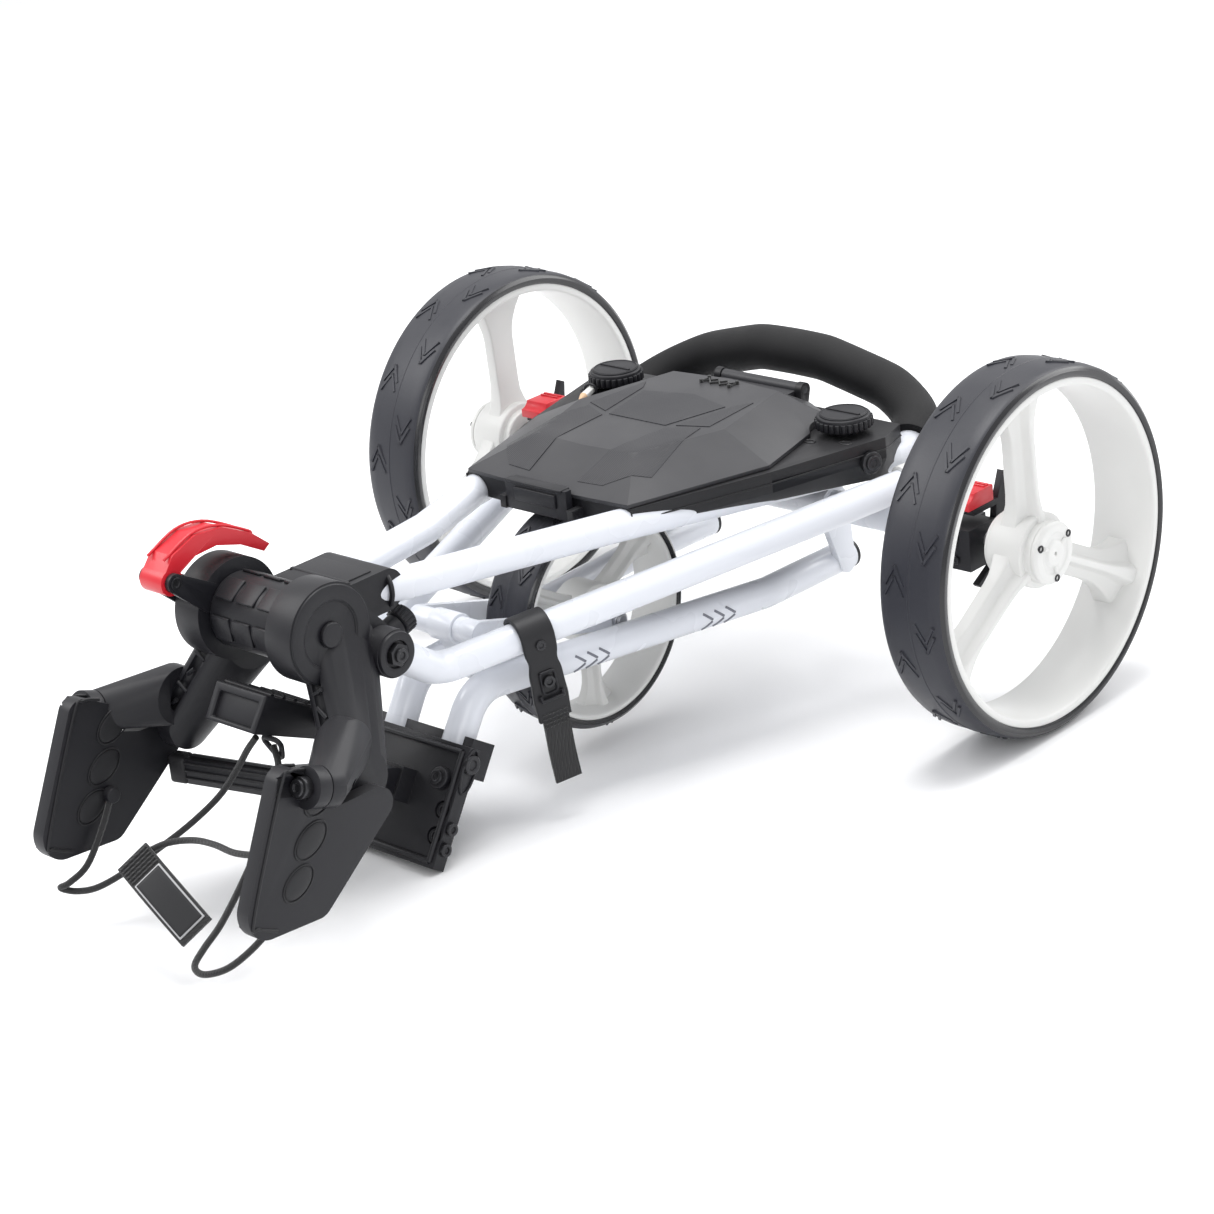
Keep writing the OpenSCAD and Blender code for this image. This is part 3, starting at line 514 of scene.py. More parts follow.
    @classmethod
    def screw(cls, seat: Vector, out: Vector, radius: float, height: float = 3.0) -> bpy.types.Object:
        """Makes a button-head screw with a hexagonal recess.

        Args:
            seat: the middle of the face it sits on.
            out: the way the head points.
            radius: the head's radius in millimetres.
            height: the head's height in millimetres.

        Returns:
            The screw.
        """
        out = out.normalized()
        head = cls.rod(seat - out * 0.001, seat + out * height / 1000, radius, 32)
        cls.pick(head)
        bpy.ops.object.mode_set(mode="EDIT")
        bpy.ops.mesh.select_mode(type="FACE")
        bpy.ops.mesh.select_all(action="DESELECT")
        bpy.ops.object.mode_set(mode="OBJECT")
        for face in head.data.polygons:
            face.select = face.normal.dot(out) > 0.9
        bpy.ops.object.mode_set(mode="EDIT")
        bpy.ops.mesh.inset(thickness=radius * 0.5 / 1000)
        bpy.ops.mesh.extrude_region_move(TRANSFORM_OT_translate={"value": tuple(-out * height * 0.6 / 1000)})
        bpy.ops.object.mode_set(mode="OBJECT")
        return cls.bevel(head, min(0.9, radius * 0.12), 3, 40)

    @classmethod
    def spin(cls, profile: Sequence[tuple[float, float]], middle: Vector, steps: int = 144) -> bpy.types.Object:
        """Turns a closed section round the X axis.

        Args:
            profile: (x, radius) corners in millimetres from the middle.
            middle: a point on the axis.
            steps: faces round the axis.

        Returns:
            The turned solid.
        """
        cls.clear()
        bpy.ops.mesh.primitive_circle_add(vertices=len(profile), radius=0.01, fill_type="NOTHING")
        piece = bpy.context.object
        for vertex, (x, radius) in zip(piece.data.vertices, profile):
            vertex.co = middle + Vector((x / 1000, 0, radius / 1000))
        bpy.ops.object.mode_set(mode="EDIT")
        bpy.ops.mesh.select_all(action="SELECT")
        bpy.ops.mesh.spin(steps=steps, angle=math.tau, center=tuple(middle), axis=(1, 0, 0))
        bpy.ops.mesh.select_all(action="SELECT")
        bpy.ops.mesh.remove_doubles(threshold=1e-5)
        bpy.ops.mesh.normals_make_consistent(inside=False)
        bpy.ops.object.mode_set(mode="OBJECT")
        return piece

    @classmethod
    def tube(cls, points: Sequence[Vector], radius: float, resolution: int = 10) -> bpy.types.Object:
        """Makes a closed round tube along points.

        Args:
            points: the centre line in the row frame.
            radius: in millimetres.
            resolution: fineness of the section.

        Returns:
            The tube as a mesh.
        """
        cls.clear()
        line = bpy.data.curves.new("line", "CURVE")
        line.dimensions = "3D"
        line.bevel_depth, line.bevel_resolution, line.use_fill_caps = radius / 1000, resolution, True
        spline = line.splines.new("POLY")
        spline.points.add(len(points) - 1)
        for knot, point in zip(spline.points, points):
            knot.co = (*point, 1)
        piece = bpy.data.objects.new("tube", line)
        bpy.context.scene.collection.objects.link(piece)
        cls.pick(piece)
        bpy.ops.object.convert(target="MESH")
        return cls.close(bpy.context.object)

    @classmethod
    def copy_node(cls, node: str, bevel: float = 1.0, segments: int = 3, cuts: Iterable[bpy.types.Object] = (),
                  angle: float = 32.0) -> bpy.types.Object:
        """Copies a CAD node as one clean skin with rounded edges.

        Args:
            node: the node's name.
            bevel: width of the rounding in millimetres.
            segments: faces across the rounding.
            cuts: solids that are cut out first; they are used up.
            angle: edges sharper than this many degrees are rounded.

        Returns:
            The copy.
        """
        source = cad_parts[node]
        piece = bpy.data.objects.new(f"{node}_skin", source.data.copy())
        bpy.context.scene.collection.objects.link(piece)
        piece.data.materials.clear()
        cls.pick(piece)
        bpy.ops.object.mode_set(mode="EDIT")
        bpy.ops.mesh.select_all(action="SELECT")
        bpy.ops.mesh.remove_doubles(threshold=1e-5)
        bpy.ops.mesh.dissolve_limited(angle_limit=math.radians(1.0))
        bpy.ops.object.mode_set(mode="OBJECT")
        for cut in cuts:
            modifier = piece.modifiers.new("cut", "BOOLEAN")
            modifier.operation, modifier.solver, modifier.object = "DIFFERENCE", "EXACT", cut
            cls.apply(piece)
            bpy.data.objects.remove(cut, do_unlink=True)
        return cls.bevel(piece, bevel, segments, angle) if bevel else piece

    @classmethod
    def place(cls, piece: bpy.types.Object, turns: Iterable[Matrix]) -> list[bpy.types.Object]:
        """Copies a piece to several places, each copy with its own mesh.

        Args:
            piece: the model, which is used up.
            turns: where each copy goes.

        Returns:
            The copies.
        """
        copies = []
        for turn in turns:
            copy = bpy.data.objects.new(piece.name, piece.data.copy())
            copy.data.transform(turn)
            bpy.context.scene.collection.objects.link(copy)
            copies.append(copy)
        bpy.data.objects.remove(piece, do_unlink=True)
        return copies

    @classmethod
    def dress(cls, piece: bpy.types.Object, name: str, finish: Finish, body: str, slot: str,
              nodes: Sequence[str] = (), smooth: float = 35.0) -> bpy.types.Object:
        """Finishes a piece: name, shading, material, body and the nodes it stands for.

        Args:
            piece: the piece.
            name: its name.
            finish: its finish.
            body: the body it rides on.
            slot: not used.
            nodes: CAD nodes it replaces.
            smooth: faces that meet at less than this many degrees are shaded as one.

        Returns:
            The piece.
        """
        cls.pick(piece)
        piece.name = name
        bpy.ops.object.shade_smooth_by_angle(angle=math.radians(smooth))
        piece.data.materials.clear()
        piece.data.materials.append(finish.material())
        if body:
            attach(piece, body)
        if nodes:
            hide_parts(*nodes)
        log.info("%s: %d faces on %s", name, len(piece.data.polygons), body or "two bodies")
        return piece


def mirrored(points: Sequence[Vector]) -> list[Vector]:
    """Gives points on the other side of the trolley."""
    return [Vector((-p.x, p.y, p.z)) for p in points]


def rounded(route: Sequence[Vector], bend: float, steps: int = 12) -> list[Vector]:
    """Rounds a route's corners.

    Args:
        route: the route's corners in the row frame.
        bend: the bends' radius in millimetres.
        steps: straight pieces in each bend.

    Returns:
        The rounded centre line.
    """
    line = [route[0]]
    for before, corner, after in zip(route, route[1:], route[2:]):
        u, w = (before - corner).normalized(), (after - corner).normalized()
        half = u.angle(w) / 2
        centre = corner + (u + w).normalized() * (bend / 1000 / math.sin(half))
        start = corner + u * (bend / 1000 / math.tan(half)) - centre
        turn = math.pi - 2 * half
        for k in range(steps + 1):
            angle = turn * k / steps
            line.append(centre + start * math.cos(angle) - u * (bend / 1000) * math.sin(angle))
    return [*line, route[-1]]


def smooth_line(points: Sequence[Vector], steps: int = 8) -> list[Vector]:
    """Draws one smooth line through points.

    Args:
        points: the points it passes.
        steps: straight pieces between two points.

    Returns:
        The line's points.
    """
    ends = [points[0] * 2 - points[1], *points, points[-1] * 2 - points[-2]]
    line = []
    for a, b, c, d in zip(ends, ends[1:], ends[2:], ends[3:]):
        for k in range(steps):
            t = k / steps
            line.append(0.5 * (2 * b + (c - a) * t + (2 * a - 5 * b + 4 * c - d) * t * t
                               + (3 * b - a - 3 * c + d) * t ** 3))
    return [*line, points[-1]]


# ---------------------------------------------------------------- camera, light and floor


@dataclass
class Studio:
    """Camera, soft lights and a plain pale floor."""

    camera_at: tuple[float, float, float] = (1.698, -1.6028, 1.0712)
    azimuth: float = 45.262
    elevation: float = 21.995
    roll: float = -5.965
    lens: float = 96.19
    lights: list[tuple[tuple[float, float, float], float, float]] = field(default_factory=lambda: [
        ((-1.9, -1.4, 2.6), 2.0, 58.0), ((2.6, -2.4, 1.8), 1.6, 22.0), ((0.9, 2.9, 2.2), 2.2, 60.0),
        ((0.1, 0.2, 3.2), 1.6, 62.0)])

    def build(self) -> None:
        """Makes the camera, the lights, the world and the floor."""
        az, el, roll = (math.radians(a) for a in (self.azimuth, self.elevation, self.roll))
        ahead = Vector((-math.sin(az) * math.cos(el), math.cos(az) * math.cos(el), -math.sin(el)))
        level = Vector((math.cos(az), math.sin(az), 0))
        upright = level.cross(ahead)
        right = level * math.cos(roll) + upright * math.sin(roll)
        up = right.cross(ahead)
        lens = bpy.data.cameras.new("camera")
        lens.lens, lens.sensor_width, lens.sensor_fit = self.lens, 36.0, "HORIZONTAL"
        camera = bpy.data.objects.new("camera", lens)
        camera.matrix_world = Matrix.Translation(self.camera_at) @ Matrix((right, up, -ahead)).transposed().to_4x4()
        bpy.context.scene.collection.objects.link(camera)
        bpy.context.scene.camera = camera
        for number, (place, size, power) in enumerate(self.lights):
            lamp = bpy.data.lights.new(f"soft_light_{number}", "AREA")
            lamp.size, lamp.energy = size, power
            holder = bpy.data.objects.new(f"soft_light_{number}", lamp)
            holder.location = place
            holder.rotation_euler = (Vector((0, 0, 0.15)) - Vector(place)).to_track_quat("-Z", "Y").to_euler()
            bpy.context.scene.collection.objects.link(holder)
        world = bpy.data.worlds.new("studio")
        world.use_nodes = True
        world.node_tree.nodes["Background"].inputs["Color"].default_value = (0.97, 0.98, 1.0, 1)
        world.node_tree.nodes["Background"].inputs["Strength"].default_value = 0.78
        bpy.context.scene.world = world
        bpy.context.scene.view_settings.view_transform = "Standard"
        Bench.clear()
        bpy.ops.mesh.primitive_plane_add(size=60, location=(0, 0, 0))
        floor = Bench.settle(bpy.context.object)
        floor.name = "floor"
        floor.data.materials.append(FLOOR_PAINT.material())


# ---------------------------------------------------------------- cords and their tag


@dataclass
class BagCords:
    """The elastic cords that hold the bag, with their rings and the tag."""

    diameter: float = 5.0
    left: list[Vector] = field(default_factory=lambda: [at(*p) for p in [
        (-104, -606, 90), (-100, -622, 70), (-100, -640, 48), (-106, -654, 38), (-112, -658, 34), (-104, -650, 30),
        (-90, -640, 33), (-74, -622, 44), (-58, -604, 58), (-42, -584, 74), (-28, -566, 92), (-16, -556, 112),
        (-6, -552, 128), (4, -550, 140)]])
    right: list[Vector] = field(default_factory=lambda: [at(*p) for p in [
        (104, -620, 70), (98, -638, 50), (92, -654, 38), (84, -668, 30), (70, -677, 26), (60, -676, 29),
        (57, -664, 36), (58, -648, 47), (58, -630, 63), (57, -610, 82), (56, -592, 100), (50, -574, 118),
        (40, -562, 132), (30, -556, 142)]])
    tag_cord: list[Vector] = field(default_factory=lambda: [at(*p) for p in [
        (-26.5, -641.6, 78), (-14, -628, 84), (6, -620, 88), (28, -619, 90), (50, -620, 90), (72, -618, 93),
        (94, -614, 96)]])
    tag_start: Vector = field(default_factory=lambda: at(-30, -648, 77))
    tag_way: Vector = field(default_factory=lambda: Vector((70, -6, -38)).normalized())
    tag_edge: Vector = field(default_factory=lambda: Vector((12.2, 21.3, 15.8)))
    tag_size: tuple[float, float] = (80.0, 28.0)

    def cord(self, route: Sequence[Vector], name: str, node: str, far_end: str, pieces: Sequence[bpy.types.Object],
             paddle: str) -> bpy.types.Object:
        """Args:
            route: the points it passes.
            name: the piece's name.
            node: the CAD node it replaces.
            far_end: not used.
            pieces: not used.
            paddle: the body its first end moves with, or nothing.

        Returns:
            The cord.
        """
        line = smooth_line(route, 6)
        cord = Bench.tube(line, self.diameter / 2, 4)
        Bench.dress(cord, name, CORD_BRAID, "" if paddle else "upper_frame", "cord", [node])
        if paddle:
            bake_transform(cord)
        return cord

    def tag(self) -> list[bpy.types.Object]:
        """Returns the webbing tag: sewn webbing, a plain rubber patch in a pale border, and stitching."""
        face = self.tag_way.cross(self.tag_edge).normalized()
        wide = face.cross(self.tag_way)
        turn = Matrix.Translation(self.tag_start) @ Matrix((self.tag_way, wide, face)).transposed().to_4x4()
        length, width = self.tag_size
        bow = lambda x: 2.2 * math.sin(x / length * math.pi)
        parts: list[bpy.types.Object] = []
        for name, x0, x1, inset, z0, z1, finish, slot in [
                ("tag_webbing", 0, length, 0.0, 0, 3.4, WEBBING, "webbing"),
                ("tag_border", 21, length - 4, 2.0, 3.2, 4.4, PALE_PRINT, "strap_rubber"),
                ("tag_patch", 22.2, length - 5.2, 3.2, 3.4, 5.4, STRAP_RUBBER, "strap_rubber")]:
            Bench.clear()
            bpy.ops.mesh.primitive_grid_add(x_subdivisions=24, y_subdivisions=8, size=1)
            sheet = bpy.context.object
            for vertex in sheet.data.vertices:
                x, y = x0 + (vertex.co.x + 0.5) * (x1 - x0), vertex.co.y * (width - 2 * inset)
                vertex.co = Vector((x, y, z0 + bow(x))) / 1000
            bpy.ops.object.mode_set(mode="EDIT")
            bpy.ops.mesh.select_all(action="SELECT")
            bpy.ops.mesh.extrude_region_move(TRANSFORM_OT_translate={"value": (0, 0, (z1 - z0) / 1000)})
            bpy.ops.mesh.select_all(action="SELECT")
            bpy.ops.mesh.normals_make_consistent(inside=False)
            bpy.ops.object.mode_set(mode="OBJECT")
            sheet.data.transform(turn)
            Bench.bevel(sheet, 0.4, 2, 50)
            parts.append(Bench.dress(sheet, name, finish, "upper_frame", slot,
                                     ["webbing_tag"] if name == "tag_webbing" else []))
        ribs = []
        for k in range(6):
            x = 3 + 3.0 * k
            lift = 3.6 + bow(x)
            ribs.append(Bench.rod(turn @ (Vector((x, 1.5 - width / 2, lift)) / 1000),
                                  turn @ (Vector((x, width / 2 - 1.5, lift)) / 1000), 0.9, 8))
        parts.append(Bench.dress(Bench.join(ribs), "tag_sewn_end", WEBBING, "upper_frame", "webbing"))
        return parts

    def build(self) -> None:
        """Makes the tag, the cords and the rings they end in."""
        ring_points = [at(22, -560, 150), at(44, -560, 150), at(33, -552, 128)]
        loop = rounded([(ring_points[0] + ring_points[1]) / 2, ring_points[1], ring_points[2], ring_points[0],
                        (ring_points[0] + ring_points[1]) / 2], 4, 6)
        cord_ring = Bench.dress(Bench.tube(loop, 2.0, 4), "cord_ring", BLACK_PLASTIC, "upper_frame", "black_plastic")
        tag = self.tag()
        self.cord(self.left, "bag_cord_left", "bungee_left", "object", [], "paddle_left")
        self.cord(self.right, "bag_cord_right", "bungee_right", "object", [cord_ring], "paddle_right")
        self.cord(self.tag_cord, "tag_cord", "bungee_tag_cord", "object", tag, "")
        for side, point in ((Side.LEFT, self.left[0]), (Side.RIGHT, self.right[0])):
            out = Vector((side.value, 0, 0))
            boss = Bench.rod(point - out * 0.004, point + out * 0.004, 6.0, 24, 1.0)
            Bench.dress(boss, f"cord_ferrule_{side.word}", BLACK_PLASTIC, f"paddle_{side.word}", "black_plastic")


# ---------------------------------------------------------------- wheels


@dataclass
class Wheel:
    """A spoked wheel with a solid tyre."""

    name: str
    body: str
    middle: Vector
    outward: int
    radius: float
    half: float
    tyre_wall: float
    hub_radius: float
    hub_half: float
    spoke_angles: tuple[float, ...]
    nodes: tuple[str, str]
    motifs: int
    motif_scale: float
    bore: float

    def tyre(self) -> None:
        """Makes the tyre with its mould line, stepped side walls and two rows of raised chevrons."""
        r, h, rim = self.radius - 1.3, self.half, self.radius - self.tyre_wall
        section = [(-h + 1, rim), (-h, rim + 1.2), (-h, r - 5.5), (-h + 0.8, r - 4.6), (-h + 2.2, r - 2.6),
                   (-h + 5.5, r - 1.2), (-h + 13, r - 0.2), (-0.9, r), (-0.5, r + 0.35), (0.5, r + 0.35), (0.9, r),
                   (h - 13, r - 0.2), (h - 5.5, r - 1.2), (h - 2.2, r - 2.6), (h - 0.8, r - 4.6), (h, r - 5.5),
                   (h, rim + 1.2), (h - 1, rim)]
        tyre = Bench.spin(section, self.middle, 160)
        Bench.dress(tyre, f"{self.name}_tyre_skin", TYRE_RUBBER, self.body, "tyre", [self.nodes[1]], 40)
        tyre.data.materials.append(TYRE_WALL.material())
        for face in tyre.data.polygons:
            spot = face.center - self.middle
            if math.hypot(spot.y, spot.z) < (r - 3.4) / 1000:
                face.material_index = 1
        s = self.motif_scale
        bars = []
        for k, (u0, u1) in enumerate(((-15, 6), (-7, 14))):
            for lean in (-1, 1):
                bars.append(self.motif_bar(u0 * s, u1 * s, lean, (3.4 - 0.4 * k) * s))
        motif = Bench.join(bars)
        turns = []
        for row, offset in ((-1, 0.0), (1, 0.5)):
            for k in range(self.motifs):
                turn = Matrix.Rotation(math.tau * (k + offset) / self.motifs, 4, "X")
                flip = Matrix.Identity(4) if row > 0 else Matrix.Diagonal((1, -1, 1, 1))
                shift = Matrix.Translation((row * self.half * 0.44 / 1000, 0, (r - 0.7) / 1000))
                turns.append(Matrix.Translation(self.middle) @ turn @ shift @ flip)
        lugs = Bench.close(Bench.join(Bench.place(motif, turns)))
        Bench.dress(lugs, f"{self.name}_tread", TYRE_RUBBER, self.body, "tyre", (), 30)

    def motif_bar(self, u0: float, u1: float, lean: int, width: float) -> bpy.types.Object:
        """Makes one leaning bar of a chevron, lying in the XY plane round the origin.

        Args:
            u0: where it starts along the tread, in millimetres.
            u1: where it ends.
            lean: 1 or -1, the side it leans to.
            width: the bar's width.

        Returns:
            The bar.
        """
        across = 8.5 * self.motif_scale
        a, b = Vector((0, u0, 0)), Vector((lean * across, u1 - 6 * self.motif_scale, 0))
        way = (b - a).normalized()
        aside = Vector((-way.y, way.x, 0)) * width / 2
        Bench.clear()
        bpy.ops.mesh.primitive_cube_add(size=1)
        bar = bpy.context.object
        for vertex in bar.data.vertices:
            end = b if vertex.co.x > 0 else a
            taper = 1.0 if vertex.co.z < 0 else 0.62
            height = -1.0 if vertex.co.z < 0 else 1.3
            point = end + aside * (taper if vertex.co.y > 0 else -taper)
            vertex.co = Vector((point.x, point.y, height)) / 1000
        Bench.close(bar)
        return bar

    def rim(self) -> None:
        """Makes the deep rim, the flared spokes and the hub."""
        r, h = self.radius - self.tyre_wall, self.half - 1.2
        wall = 6.0 * self.radius / 148
        section = [(-h, r - wall), (-h, r), (h, r), (h, r - wall), (h - 3, r - wall - 1.2), (5, r - wall - 3.4),
                   (-5, r - wall - 3.4), (-h + 3, r - wall - 1.2)]
        barrel = Bench.bevel(Bench.spin(section, self.middle, 160), 1.2, 3, 30)
        parts = [barrel]
        for angle in self.spoke_angles:
            parts.append(self.spoke(angle, r - wall - 0.5))
        for part_half, radius in ((self.hub_half, self.hub_radius), (self.hub_half * 0.72, self.hub_radius + 5)):
            hub = Bench.spin([(-part_half, self.bore), (-part_half, radius), (part_half, radius),
                              (part_half, self.bore)], self.middle, 72)
            parts.append(Bench.bevel(hub, 1.6, 3, 30))
        rim = Bench.join(parts)
        Bench.dress(rim, f"{self.name}_rim_skin", WHITE_PLASTIC, self.body, "white_plastic", [self.nodes[0]], 38)

    def spoke(self, angle: float, reach: float) -> bpy.types.Object:
        """Makes one spoke, a hollow-sided beam with a raised ridge that flares into hub and rim.

        Args:
            angle: its turn from +Y towards +Z, in degrees.
            reach: its length from the wheel's middle, in millimetres.

        Returns:
            The spoke.
        """
        stations = 14
        size = self.radius / 148
        sections = []
        for k in range(stations + 1):
            t = k / stations
            out = self.hub_radius * 0.55 + (reach - self.hub_radius * 0.55) * t
            wide = (13 + 11 * max(0.0, 1 - 4.2 * t) ** 1.6 + 17 * max(0.0, (t - 0.62) / 0.38) ** 2.0) * size
            deep = (8.5 + 5 * max(0.0, 1 - 4 * t) + 7 * max(0.0, (t - 0.68) / 0.32) ** 1.8) * size
            ridge = deep + (7.5 - 2.5 * t) * size
            sections.append([(out, y * size_y, x) for y, size_y, x in [
                (-1, wide, -deep * 0.8), (-1, wide, deep * 0.45), (-0.36, wide, deep * 0.8), (-0.2, wide, ridge),
                (0.2, wide, ridge), (0.36, wide, deep * 0.8), (1, wide, deep * 0.45), (1, wide, -deep * 0.8)]])
        Bench.clear()
        bpy.ops.mesh.primitive_cylinder_add(vertices=8, radius=0.01, depth=0.01, end_fill_type="NGON")
        spoke = bpy.context.object
        corners = len(sections[0])
        mesh = spoke.data
        mesh.clear_geometry()
        points = [Vector((x, y, z)) for section in sections for y, z, x in section]
        faces = [[k * corners + c, (k + 1) * corners + c, (k + 1) * corners + (c + 1) % corners,
                  k * corners + (c + 1) % corners] for k in range(stations) for c in range(corners)]
        faces += [list(range(corners)), [stations * corners + c for c in reversed(range(corners))]]
        mesh.from_pydata([tuple(p / 1000) for p in points], [], faces)
        mesh.update()
        Bench.close(spoke)
        Bench.bevel(spoke, 1.4 * size, 3, 28)
        turn = (Matrix.Translation(self.middle) @ Matrix.Rotation(math.radians(angle), 4, "X")
                @ Matrix.Diagonal((self.outward, 1, 1, 1)))
        spoke.data.transform(turn)
        return Bench.close(spoke)

    def build(self) -> None:
        """Makes the wheel's tyre and rim."""
        self.tyre()
        self.rim()


@dataclass
class HubCap:
    """The round cover on a rear wheel's hub, with its three screws."""

    side: Side
    middle: Vector
    radius: float = 25.0
    face: float = 22.0

    def build(self) -> None:
        """Makes the cover with a recessed plain disc, and its screws."""
        s, f = self.side.value, self.face
        section = [(s * f, 1.5), (s * f, self.radius), (s * (f + 3.5), self.radius), (s * (f + 5.5), self.radius - 2.5),
                   (s * (f + 5.5), self.radius - 8), (s * (f + 4.6), self.radius - 9), (s * (f + 4.6), 11),
                   (s * (f + 6.2), 9.5), (s * (f + 6.2), 1.5)]
        cover = Bench.bevel(Bench.spin(section, self.middle, 72), 0.6, 2, 30)
        marks = []
        for turn in (30, 150, 270):
            way = Vector((0, math.cos(math.radians(turn)), math.sin(math.radians(turn))))
            marks.append(Bench.rod(self.middle + Vector((s * (f + 4.0) / 1000, 0, 0)) + way * 0.009,
                                   self.middle + Vector((s * (f + 5.4) / 1000, 0, 0)) + way * 0.0155, 1.6, 16))
        Bench.dress(Bench.join([cover, *marks]), f"hub_cover_{self.side.word}", WHITE_PLASTIC,
                    f"wheel_{self.side.word}", "white_plastic", [f"hub_cap_{self.side.word}"])
        screws = []
        for turn in (92, 212, 332):
            way = Vector((0, math.cos(math.radians(turn + 60)), math.sin(math.radians(turn + 60))))
            seat = self.middle + Vector((s * (f + 4.4) / 1000, 0, 0)) + way * 0.0205
            screws.append(Bench.screw(seat, Vector((s, 0, 0)), 3.0, 2.0))
        Bench.dress(Bench.join(screws), f"hub_screws_{self.side.word}", BLACK_STEEL, f"wheel_{self.side.word}",
                    "black_steel")


# ---------------------------------------------------------------- tubes


@dataclass
class Tubes:
    """The bent white tubes of the chassis, the frame and the handle."""

    radius: float = 12.5
    bend: float = 34.0
    handle_bend: float = 30.0
    chassis: list[Vector] = field(default_factory=lambda: [
        at(31, -394, 60), at(32, -360, 112), at(76, -76, 96), at(76, 26, 94)])
    frame_route: list[Vector] = field(default_factory=lambda: [
        at(55, -459, 184), at(40, -402, 144), at(168, -41, 184), at(183, -3, 189)])
    handle: list[Vector] = field(default_factory=lambda: [
        at(16, -458, 217), at(50, -318, 210), at(78, -238, 209), at(147, 14, 195), at(144, 62, 207),
        at(96, 72, 228), at(34, 67, 245), at(0, 66, 246)])

    def build(self) -> None:
        """Makes the tubes, the chevron marks on them and the foam grip."""
        for side in Side:
            for route, node, body in ((self.chassis, "chassis_tube", "chassis"),
                                      (self.frame_route, "frame_tube", "upper_frame")):
                corners = route if side is Side.RIGHT else mirrored(route)
                tube = Bench.tube(rounded(corners, self.bend), self.radius)
                Bench.dress(tube, f"{node}_{side.word}_skin", WHITE_PAINT, body, "white_paint",
                            [f"{node}_{side.word}"])
        whole = [*self.handle, *reversed(mirrored(self.handle[:-1]))]
        line = rounded(whole, self.handle_bend)
        Bench.dress(Bench.tube(line, self.radius), "handle_tube_skin", WHITE_PAINT, "handle", "white_paint",
                    ["handle_tube"])
        self.grip(line)
        self.marks()

    def grip(self, line: Sequence[Vector]) -> None:
        """Makes the foam grip over the arch of the handle.

        Args:
            line: the handle's centre line.
        """
        start = at(0, 34, 0).y
        lead = [self.cross(line, start, 1), self.cross(line, start, -1)]
        path = [lead[0], *[p for p in line if p.y > start], lead[1]]
        dense = []
        for a, b in zip(path, path[1:]):
            steps = max(1, int((b - a).length / 0.004))
            dense += [a + (b - a) * k / steps for k in range(steps)]
        dense.append(path[-1])
        for _ in range(60):
            dense = [dense[0], *[(a + 2 * b + c) / 4 for a, b, c in zip(dense, dense[1:], dense[2:])], dense[-1]]
        foam = Bench.tube(dense, 19.0, 12)
        Bench.bevel(foam, 2.0, 3, 60)
        Bench.dress(foam, "foam_grip_skin", FOAM, "handle", "foam", ["foam_grip"], 50)

    @staticmethod
    def cross(line: Sequence[Vector], y: float, way: int) -> Vector:
        """Finds where the line passes a value of y, from its start (1) or from its end (-1)."""
        run = list(line)[::way]
        for a, b in zip(run, run[1:]):
            if (a.y - y) * (b.y - y) <= 0 and a.y != b.y:
                return a + (b - a) * ((y - a.y) / (b.y - a.y))
        return run[-1]

    def marks(self) -> None:
        """Puts plain grey chevrons on the outer face of the lower tubes."""
        a, b = self.chassis[1], self.chassis[2]
        way = (b - a).normalized()
        for side in Side:
            bars = []
            for share in (0.30, 0.34, 0.38, 0.74, 0.78, 0.82):
                for lean in (-1, 1):
                    points = []
                    for k in range(7):
                        t = k / 6
                        angle = math.radians(-14 + lean * (4 + 30 * t))
                        out = Vector((math.cos(angle), 0, math.sin(angle)))
                        out = (out - way * out.dot(way)).normalized()
                        points.append(a + (b - a) * share + way * (0.009 * (1 - t)) + out * 0.0123)
                    if side is Side.LEFT:
                        points = mirrored(points)
                    bars.append(Bench.tube(points, 1.1, 2))
            Bench.dress(Bench.join(bars), f"tube_chevrons_{side.word}", GREY_PRINT, "chassis", "black_plastic")


# ---------------------------------------------------------------- bag arms, paddles and the handle's hinge


